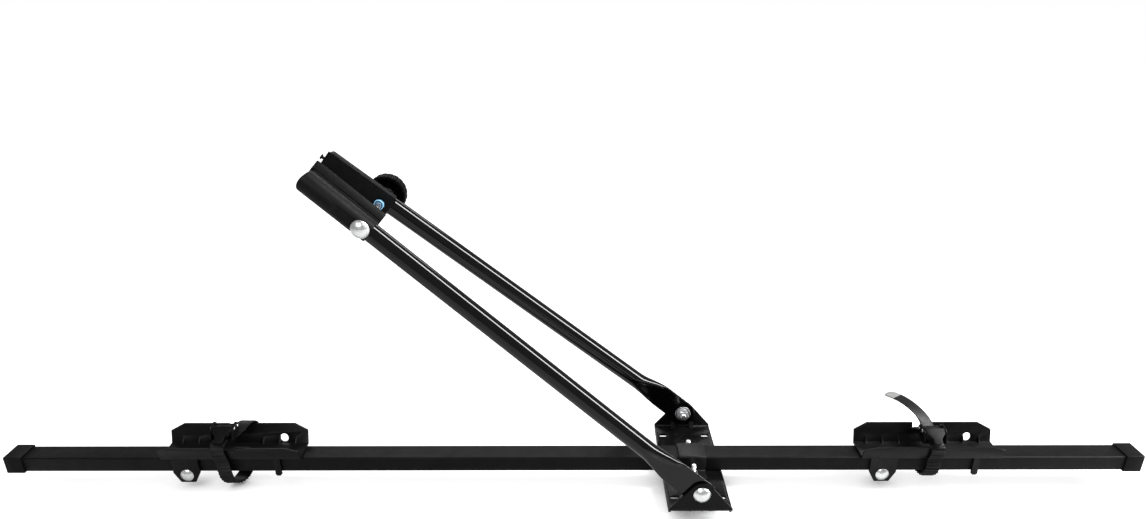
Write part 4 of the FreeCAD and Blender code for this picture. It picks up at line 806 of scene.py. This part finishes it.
knob = {
    "radius": 0.0235,
    "hub": 0.010,
    "bore": 0.0041,
    "boreSoft": 0.0004,
    "rimWall": 0.004,
    "rimFace": 0.0015,         # how far the rim's near end stands behind the hub's
    "soft": 0.0006,
    "hollow": 0.011,
    "hollowRound": 0.001,
    # rounded edges of the rim: in from its outside, and along from its near and far ends
    "nearEdge": [(0.0012, 0), (0.0004, 0.0003), (0, 0.0011)],
    "farEdge": [(0, 0.0034), (0.0004, 0.0020), (0.0013, 0.0009), (0.0030, 0.0002), (0.0050, 0)],
    "flutes": 20,
    "fluteDepth": 0.0005,
    "fluteFrom": 0.001,        # outwards from the rim's inside, where the dips start
    "fluteRun": 0.002,
    "nutRoom": 0.0076,
    "nutDepth": 0.0068,
    "nutSoft": 0.0008,
    "webs": 8,
    "webHalf": 0.0008,
    # a web's section: beside its middle, by its half thickness, and height
    "webSection": [(-1, 0.0030), (-0.6, 0.0026), (0.6, 0.0026), (1, 0.0030), (1, 0.0060),
                   (1, 0.0115), (-1, 0.0115), (-1, 0.0060)],
    "webSunk": 0.0003,         # at each end, in the hub and in the rim
    "columns": 240,
}


def knobOutline(length):
    # Radius and height, from the bore's near end round the rim to the nut's seat.
    outer, inner, hub = knob["radius"], knob["radius"] - knob["rimWall"], knob["hub"]
    bore, boreSoft, face, soft = knob["bore"], knob["boreSoft"], knob["rimFace"], knob["soft"]
    hollow, bend = knob["hollow"], knob["hollowRound"]
    nut, seat = knob["nutRoom"], length - knob["nutDepth"]
    rows = [(bore, boreSoft), (bore + boreSoft, 0), (hub - soft, 0), (hub, soft),
            (hub, hollow - bend), (hub + bend, hollow), (inner - bend, hollow),
            (inner, hollow - bend), (inner, face + soft), (inner + soft, face)]
    rows += [(outer - inward, face + along) for inward, along in knob["nearEdge"]]
    rows += [(outer - inward, length - along) for inward, along in knob["farEdge"]]
    return rows + [(nut + knob["nutSoft"], length), (nut, length - knob["nutSoft"]), (nut, seat),
                   (bore, seat), (bore, boreSoft)]


def buildKnob():
    # A turned outline whose outer radius dips at each flute: the dip is the square of a
    # cosine that comes round once for every flute, where that is above zero.
    start, way, length = axisOf("knob", 1, True)
    inner = knob["radius"] - knob["rimWall"]
    radius, height = np.array(knobOutline(length)).T[:, :, None]
    angles = ringAngles(knob["columns"])[None, :]
    dip = np.clip(np.cos(angles * knob["flutes"]), 0, 1) ** 2 * knob["fluteDepth"]
    radius = radius - dip * smoothStep((radius - inner - knob["fluteFrom"]) / knob["fluteRun"])
    grids = [turnedGrid(start, way, radius, height, angles, arms["angle"])]
    # A web is its section carried from hub to rim, and shrunk to a point at both ends.
    beside, high = np.array(knob["webSection"]).T[:, None, :]
    across = beside * knob["webHalf"]
    middle = (high.min() + high.max()) / 2
    out = np.array([0, 0, 1, 1])[:, None] * (inner - knob["hub"] + 2 * knob["webSunk"])
    shrink = np.array([0, 1, 1, 0])[:, None]
    first = np.array([math.cos(arms["angle"]), 0.0, -math.sin(arms["angle"])])
    second = np.cross(way, first)
    for turn in ringAngles(knob["webs"]) + math.pi / knob["webs"]:
        along = first * math.cos(turn) + second * math.sin(turn)
        sideways = second * math.cos(turn) - first * math.sin(turn)
        grids.append(start + along * (knob["hub"] - knob["webSunk"] + out)[..., None]
                     + sideways * (across * shrink)[..., None]
                     + way * (middle + (high - middle) * shrink)[..., None])
    attach(addMesh("knob_fluted", grids, "knobPlastic", sharp=40), "knob", "knob_plastic", "knob")


buildKnob()
print("turned pieces ready")

# Straps: a ribbed band carried on one smooth curve, and the buckles it goes through

straps = {
    "halfWidth": 0.00875,
    "halfThick": 0.001,
    "squareness": 7,           # power of the rounded bar that is the band's section
    "around": 28,
    "tooth": 0.0017,
    "pitch": 0.005,
    "rise": 0.0005,            # of each tooth, on its steep side
    "fall": 0.0021,
    "toothStart": 0.0018,
    "toothFade": 0.004,
    "toothed": (6, 13),        # between these points of the route
    "waist": 0.018,            # narrower between the teeth, by the half width
    "gap": 0.0006,             # to what the strap lies on
    "floorTop": 0.0263,        # height of the tray's floor
    "railBase": 0.003,         # height of the rail's underside
    "trayFloor": 0.003,        # its thickness
    "trayHalfInside": 0.017,   # half the width of its floor
    "trayWall": 0.0026,
    "flare": 0.34,             # of the tray's walls, outwards by height
    "trayBack": 0.0237,        # heights of its walls above the floor
    "trayFront": 0.0167,
    "frontNotch": 0.003,       # depths of the notches that the strap lies in
    "backNotch": 0.009,
    "step": 0.0004,            # between the band's sections
    "curvePoints": 6000,       # at which a route's length is measured
    "tipRound": 0.006,         # rounded end of the right strap
    "tipNarrow": 0.75,
    "paleTip": 0.016,          # light grey end of the right strap
    "tailHeight": 0.035,       # above the tray's floor, where only the tail is
}

buckles = {
    # middle of the strap in the buckle, with x from the tray's middle, the buckle's tilt,
    # and how far the strap hangs in its loop under the rail
    "right": {"x": 0.0, "y": -0.006, "z": 0.050, "tilt": math.radians(14.0), "loop": 0.011},
    "left": {"x": -0.006, "y": -0.006, "z": 0.055, "tilt": math.radians(16.0), "loop": 0.023},
    "length": 0.025,
    "halfWidth": 0.0145,
    "strapClear": 0.001,       # the route's points stand this far out of the ends
    # the strap's fixed end and its next point: along, and down from under the floor
    "anchor": (0.001, 0.0012),
    "anchorNext": (0.0108, 0.0016),
    "exitLift": 0.0003,        # of the strap, where it leaves the buckle
    "floor": 0.0016,           # its thickness, and below that of a cheek
    "floorBlur": 1.2,
    "cheek": 0.0022,
    "cheekHeight": 0.015,
    "cheekBack": 0.66,         # heights of a cheek's back and front edges, by its height
    "cheekFront": 0.4,
    "cheekTop": 0.5,           # front end of its top edge, by half the length
    "cheekBlur": 3.2,
    "outlinePoints": {"cheek": 120, "floor": 80},
    "soft": 0.0006,
    "softSteps": 5,
    "pin": 0.002,
    "pinAt": -0.001,           # the lever's pin, along the strap
    "pinDrop": 0.8,            # the lever's pin below the cheeks' top, by the hub's radius
    "pinProud": 0.0008,
    "pinSoft": 0.0005,
    "barWall": 0.0006,         # of the moulded bar, round the rear pin
    "barSoft": 0.0002,
    "hubWall": 0.0018,
    "rodAround": 32,
    "rodSteps": 5,
}

levers = {
    "length": 0.022,
    "thick": 0.0024,
    "tip": 0.0058,             # half the width at its end
    "slope": math.radians(34.0),  # below the level, towards the front
    "gap": 0.0003,             # to each cheek
    "squareness": 4.5,
    "around": 48,
    "hubRun": (-0.0012, 0.001),  # stretch of the blade in the hub, from the pin
    "shoulder": 0.004,         # where the blade starts to narrow
    "roundLength": 0.007,      # rounded end, seen from above
    "roundPower": 2.6,
    "rows": (6, 20, 14),       # in the hub, on the blade and on its rounded end
    "thinFrom": 0.002,         # from the end, where the blade's thickness closes
    "thinEnd": 0.00005,        # past the end, where it would be closed
    "bow": 0.0006,             # rise at the middle of its length
    "crown": 0.0007,           # rise at the middle of its width
}

trayMiddle = {side: sum(corner[0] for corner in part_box("tray_" + side)) / 2
              for side in ("left", "right")}


def onBuckle(spot, distance, up):
    # A place by its distance along the strap in the buckle and above the strap's middle.
    c, s = math.cos(spot["tilt"]), math.sin(spot["tilt"])
    return spot["y"] + distance * c - up * s, spot["z"] + distance * s + up * c


def strapRoute(name):
    # Points on the strap's middle from its anchor under the buckle, over the back wall,
    # under the rail, up the front and through the buckle, and on the right along the free
    # tail. The last value is the width's yaw in degrees.
    gap = straps["halfThick"] + straps["gap"]
    low, floor = straps["railBase"], straps["floorTop"]
    backRim, frontRim = floor + straps["trayBack"], floor + straps["trayFront"]
    notch, frontNotch = backRim - straps["backNotch"], frontRim - straps["frontNotch"]

    def outside(height):
        return straps["trayHalfInside"] + straps["trayWall"] + straps["flare"] * height + gap

    base, back = outside(-straps["trayFloor"]), outside(straps["trayBack"])
    front = outside(straps["trayFront"] - straps["frontNotch"])
    spot = buckles[name]
    under = -gap - buckles["floor"] - gap
    reach = buckles["length"] / 2 + buckles["strapClear"]
    anchor, anchorEnd = [onBuckle(spot, along, under - down)
                         for along, down in (buckles["anchor"], buckles["anchorNext"])]
    enter, leave = onBuckle(spot, -reach, 0.0), onBuckle(spot, reach, buckles["exitLift"])
    loop = low - spot["loop"] + gap
    if name == "right":
        return [(-0.002, *anchor, 0), (-0.003, *anchorEnd, 0),
                (-0.003, 0.0225, notch + gap + 0.0018, 0), (-0.003, back, notch - 0.005, 0),
                (-0.0025, base + 0.0025, floor - 0.002, 0), (-0.002, base, low + 0.004, 0),
                (-0.001, 0.011, loop + 0.0022, 0), (0, 0, loop, 0),
                (0.001, -0.011, loop + 0.0022, 0), (0.002, -base, low + 0.004, 0),
                (0.002, -base - 0.0015, floor - 0.002, 0),
                (0.002, -front - 0.0008, frontNotch - 0.004, 0),
                (0.002, -front + 0.0008, frontNotch + 0.003, 0), (0.0005, *enter, 0),
                (0, spot["y"], spot["z"], 0), (-0.0005, *leave, 8),
                (-0.003, 0.016, frontRim + 0.017, 25), (-0.013, 0.029, frontRim + 0.027, 37),
                (-0.025, 0.044, frontRim + 0.032, 38), (-0.038, 0.061, frontRim + 0.031, 38)]
    over = backRim + gap
    return [(-0.001, *anchor, 0), (0.004, *anchorEnd, 0), (0.013, 0.025, over + 0.0024, 0),
            (0.014, back + 0.0038, over - 0.008, 0), (0.011, base + 0.004, floor - 0.004, 0),
            (0.008, base + 0.001, low - 0.002, 0), (0.003, 0.012, loop + 0.0045, 0),
            (-0.002, 0, loop, 0), (-0.006, -0.013, loop + 0.0055, 0),
            (-0.008, -base - 0.001, low - 0.001, 0), (-0.0095, -base - 0.002, floor - 0.004, 0),
            (-0.0105, -front - 0.0012, frontNotch - 0.003, 0),
            (-0.010, -front + 0.0005, frontRim + 0.004, 0), (-0.008, *enter, 0),
            (spot["x"], spot["y"], spot["z"], 0), (-0.003, *leave, 0)]


def endSlope(at, points):
    # Slope at the first point of the cubic through the first four.
    slope = np.zeros(points.shape[1])
    for j in range(4):
        others = [k for k in range(4) if k != j]
        weight = sum(np.prod([at[0] - at[m] for m in others if m != k]) for k in others)
        slope += points[j] * weight / np.prod([at[j] - at[k] for k in others])
    return slope


def smoothCurve(points, step):
    # A cubic spline through the points, with no jump in curvature: its slopes solve one
    # set of linear equations. Gives places, unit tangents and distances at even steps, and
    # the distances of the points themselves.
    at = pathLengths(points[:, :3])
    count, width = len(points), np.diff(at)
    system, right = np.zeros((count, count)), np.zeros((count, points.shape[1]))
    system[0, 0] = system[-1, -1] = 1.0
    right[0] = endSlope(at[:4], points[:4])
    right[-1] = endSlope(at[::-1][:4], points[::-1][:4])
    for k in range(1, count - 1):
        system[k, k - 1:k + 2] = (1 / width[k - 1], 2 / width[k - 1] + 2 / width[k], 1 / width[k])
        right[k] = 3 * ((points[k] - points[k - 1]) / width[k - 1] ** 2
                        + (points[k + 1] - points[k]) / width[k] ** 2)
    slopes = np.linalg.solve(system, right)

    def sample(u):
        k = np.clip(np.searchsorted(at, u, side="right") - 1, 0, count - 2)
        w, t = width[k][:, None], ((u - at[k]) / width[k])[:, None]
        p, q, a, b = points[k], points[k + 1], slopes[k], slopes[k + 1]
        place = ((1 + 2 * t) * (1 - t) ** 2 * p + t * (1 - t) ** 2 * w * a
                 + t * t * (3 - 2 * t) * q + t * t * (t - 1) * w * b)
        slope = ((6 * t * t - 6 * t) * (p - q) / w + (3 * t * t - 4 * t + 1) * a
                 + (3 * t * t - 2 * t) * b)
        return place, slope

    fine = np.linspace(0, at[-1], straps["curvePoints"])
    length = pathLengths(sample(fine)[0][:, :3])
    distance = np.linspace(0, length[-1], int(length[-1] / step))
    place, slope = sample(np.interp(distance, length, fine))
    tangent = slope[:, :3] / np.linalg.norm(slope[:, :3], axis=1, keepdims=True)
    return place, tangent, distance, np.interp(at, fine, length)


def buildStrap(name):
    # The band's section is a rounded bar, |x/a|^7 + |z/b|^7 = 1; on the outward side its
    # height also follows a saw wave, steep on one flank, between the two given points.
    route = np.array(strapRoute(name), float)
    place, tangent, distance, knots = smoothCurve(route, straps["step"])
    yaw = np.radians(place[:, 3])
    across = np.stack([np.cos(yaw), np.sin(yaw), 0 * yaw], -1)
    across -= tangent * np.sum(across * tangent, axis=1, keepdims=True)
    across /= np.linalg.norm(across, axis=1, keepdims=True)
    outward = -np.cross(tangent, across)
    first, last = [knots[k] for k in straps["toothed"]]
    phase = (distance + straps["toothStart"]) % straps["pitch"]
    saw = (np.clip(phase / straps["rise"], 0, 1)
           * np.clip(1 - (phase - straps["rise"]) / straps["fall"], 0, 1))
    saw *= (smoothStep((distance - first) / straps["toothFade"])
            * smoothStep((last - distance) / straps["toothFade"]))
    u, w = squareRound(straps["around"], straps["squareness"])
    narrow = np.ones_like(distance)
    if name == "right":
        end = (distance[-1] - distance) / straps["tipRound"]
        narrow = np.sqrt(1 - straps["tipNarrow"] * np.clip(1 - end, 0, 1) ** 2)
    half = straps["halfWidth"] * (narrow - straps["waist"] * (1 - saw))[:, None]
    high = straps["halfThick"] + straps["tooth"] * saw[:, None] * (w > 0)
    middle = place[:, :3] + (trayMiddle[name], 0, 0)
    grid = (middle[:, None] + across[:, None] * (half * u)[..., None]
            + outward[:, None] * (high * w)[..., None])
    closing = np.broadcast_to(middle[[0, -1]][:, None], (2, grid.shape[1], 3))
    grid = np.concatenate([closing[:1], grid, closing[1:]])
    piece = addMesh("strap_" + name + "_band", [grid], "strapPlastic", sharp=42)
    if name == "right":
        # Faces beyond a plane across the tail are pale.
        piece.data.materials.append(materials["strapTip"])
        centres = np.empty(len(piece.data.polygons) * 3)
        piece.data.polygons.foreach_get("center", centres)
        centres = centres.reshape(-1, 3)
        beyond = (centres - middle[-1]) @ tangent[-1] > -straps["paleTip"]
        onTail = centres[:, 2] > straps["floorTop"] + straps["tailHeight"]
        piece.data.polygons.foreach_set("material_index", (beyond & onTail).astype(np.int32))
    attach(piece, name + "_tray", "strap_plastic", "strap_" + name)
    print("strap", name, "length", round(float(distance[-1]), 4))


def buckleGrid(name, x, distance, up):
    # From the buckle's own frame, x across, distance along the strap, up from it.
    spot = buckles[name]
    y, z = onBuckle(spot, distance, up)
    return np.stack(np.broadcast_arrays(trayMiddle[name] + spot["x"] + x, y, z), -1)


def rodGrid(name, distance, up, radius, half, soft):
    # A rod across the buckle: circles round its line, which shrink at both ends in a quarter
    # round, by r (1 - cos t) at the distance r (1 - sin t) from the end.
    turn = np.linspace(0, math.pi / 2, buckles["rodSteps"])
    inset, drop = soft * (1 - np.sin(turn)), soft * (1 - np.cos(turn))
    x = np.concatenate([[-half], inset[::-1] - half, half - inset, [half]])[:, None]
    r = np.concatenate([[0], radius - drop[::-1], radius - drop, [0]])[:, None]
    a = ringAngles(buckles["rodAround"])[None, :]
    return buckleGrid(name, x, distance + r * np.cos(a), up + r * np.sin(a))


def slabGrid(name, outline, start, end, soft, steps):
    # A slab across the buckle with this outline, its ends closed at the outline's middle.
    rows = roundEnds(outline, start, end, soft, soft, [], steps)
    middle = np.broadcast_to(outline.mean(axis=0), outline.shape)
    rows = [(rows[0][0], middle)] + rows + [(rows[-1][0], middle)]
    return buckleGrid(name, *rowArrays(rows))


def buildBuckle(name):
    # A channel: two cheeks on a floor, with a bar moulded round the rear pin.
    front, back = -buckles["length"] / 2, buckles["length"] / 2
    low = -straps["halfThick"] - straps["gap"] - buckles["floor"]
    tall = buckles["cheekHeight"]
    high, floorTop = low + tall, low + buckles["floor"]
    hub = buckles["pin"] + buckles["hubWall"]
    edge, inside = buckles["halfWidth"], buckles["halfWidth"] - buckles["cheek"]
    corners = np.array([(front, low), (back, low), (back, low + tall * buckles["cheekBack"]),
                        (back - hub, high), (front * buckles["cheekTop"], high),
                        (front, low + tall * buckles["cheekFront"])])
    count = buckles["outlinePoints"]
    cheek = softOutline(corners, count["cheek"], buckles["cheekBlur"])
    grids = [slabGrid(name, cheek, *ends, buckles["soft"], buckles["softSteps"])
             for ends in ((-edge, -inside), (inside, edge))]
    corners = np.array([(front, low), (back, low), (back, floorTop), (front, floorTop)])
    floor = softOutline(corners, count["floor"], buckles["floorBlur"])
    reach = edge - buckles["cheek"] / 2
    grids.append(slabGrid(name, floor, -reach, reach, 0.0, 1))
    rearAt, rearUp = back - hub, floorTop + 2 * straps["halfThick"] + hub
    grids.append(rodGrid(name, rearAt, rearUp, buckles["pin"] + buckles["barWall"], reach,
                         buckles["barSoft"]))
    piece = addMesh("buckle_frame_" + name + "_shell", grids, "bucklePlastic", sharp=40)
    attach(piece, name + "_tray", "buckle_plastic", "buckle_frame_" + name)
    pinUp = high - hub * buckles["pinDrop"]
    pins = [rodGrid(name, at, up, buckles["pin"], edge + buckles["pinProud"], buckles["pinSoft"])
            for at, up in ((buckles["pinAt"], pinUp), (rearAt, rearUp))]
    piece = addMesh("buckle_pins_" + name + "_rods", pins, "zincPlate", sharp=50)
    attach(piece, name + "_tray", "zinc", "buckle_pins_" + name)
    buildLever(name, buckles["pinAt"], pinUp, hub)


def buildLever(name, pinAt, pinUp, hub):
    # The blade: rounded-bar sections along its slope, whose half width runs from the
    # hub's to the tip's and then closes in a round end; it bows up a little in the middle.
    slope = levers["slope"] - buckles[name]["tilt"]
    long, thick = levers["length"], levers["thick"] / 2
    half = buckles["halfWidth"] - buckles["cheek"] - levers["gap"]
    shoulder, roundFrom = levers["shoulder"], long - levers["roundLength"]
    hubRows, bladeRows, endRows = levers["rows"]
    turn = np.linspace(0, math.pi / 2, endRows)[1:]
    hubFrom, hubTo = levers["hubRun"]
    d = np.concatenate([runs((hubFrom, hubRows), (hubTo, bladeRows), (roundFrom, 1)),
                        roundFrom + levers["roundLength"] * np.sin(turn)])
    w = half + (levers["tip"] - half) * smoothStep((d - shoulder) / (roundFrom - shoulder))
    beyond = np.clip((d - roundFrom) / levers["roundLength"], 0, 1)
    w = w * np.sqrt(np.clip(1 - beyond ** levers["roundPower"], 0, 1))
    thinning = (d - long + levers["thinFrom"]) / (levers["thinFrom"] + levers["thinEnd"])
    t = thick * np.sqrt(1 - np.clip(thinning, 0, 1) ** 2)
    bow = hub - thick + levers["bow"] * np.sin(np.clip(d / long, 0, 1) * math.pi)
    u, v = squareRound(levers["around"], levers["squareness"])
    x = w[:, None] * u
    crown = levers["crown"] * (1 - (x / half) ** 2)
    up = bow[:, None] + t[:, None] * v + crown * (v > 0)
    along = d[:, None]
    c, s = math.cos(slope), math.sin(slope)
    blade = buckleGrid(name, x, pinAt - along * c - up * s, pinUp - along * s + up * c)
    ends = blade[[0, -1]].mean(axis=1, keepdims=True) + 0 * blade[:2]
    blade = np.concatenate([ends[:1], blade, ends[1:]])
    barrel = rodGrid(name, pinAt, pinUp, hub, half, buckles["pinSoft"])
    piece = addMesh("buckle_lever_" + name + "_blade", [blade, barrel], "bucklePlastic", sharp=45)
    attach(piece, name + "_lever", "buckle_plastic", "buckle_lever_" + name)


for side in ("left", "right"):
    buildStrap(side)
    buildBuckle(side)
print("straps and buckles ready")

# Rail, caps, sheet pieces and trays keep their packed form, with their edges eased

easing = {
    "merge": 5e-6,
    "flat": math.radians(1.0),  # faces that meet at less than this are joined
    "sharp": math.radians(28),
    "segments": 2,
    "ownSurface": {"rail_saddle": "satinPaint"},
}

eased = {
    # node: width of the eased edge
    "rail": 0.0003, "end_cap_left": 0.0005, "end_cap_right": 0.0005, "base_plate": 0.0004,
    "rail_saddle": 0.0004, "tray_left": 0.0005, "tray_right": 0.0005,
}


def easeEdges(node, width):
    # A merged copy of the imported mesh, flat faces joined, with small rounds on its edges.
    slotName = packedParts[node]["material_slot"]
    mesh = nodes[node].data.copy()
    work = bmesh.new()
    work.from_mesh(mesh)
    bmesh.ops.remove_doubles(work, verts=work.verts, dist=easing["merge"])
    bmesh.ops.dissolve_limit(work, angle_limit=easing["flat"], verts=work.verts, edges=work.edges)
    bmesh.ops.recalc_face_normals(work, faces=work.faces)
    work.to_mesh(mesh)
    work.free()
    mesh.shade_smooth()
    piece = bpy.data.objects.new(node + "_eased", mesh)
    bpy.context.scene.collection.objects.link(piece)
    soften = piece.modifiers.new("edges", "BEVEL")
    soften.width = width
    soften.segments = easing["segments"]
    soften.limit_method = "ANGLE"
    soften.angle_limit = easing["sharp"]
    soften.harden_normals = True
    mesh.materials.clear()
    mesh.materials.append(materials[easing["ownSurface"].get(node, surfaceOf[slotName])])
    attach(piece, nodes[node]["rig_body"], slotName, node)


for nodeName, edgeWidth in eased.items():
    easeEdges(nodeName, edgeWidth)
print("eased pieces ready")
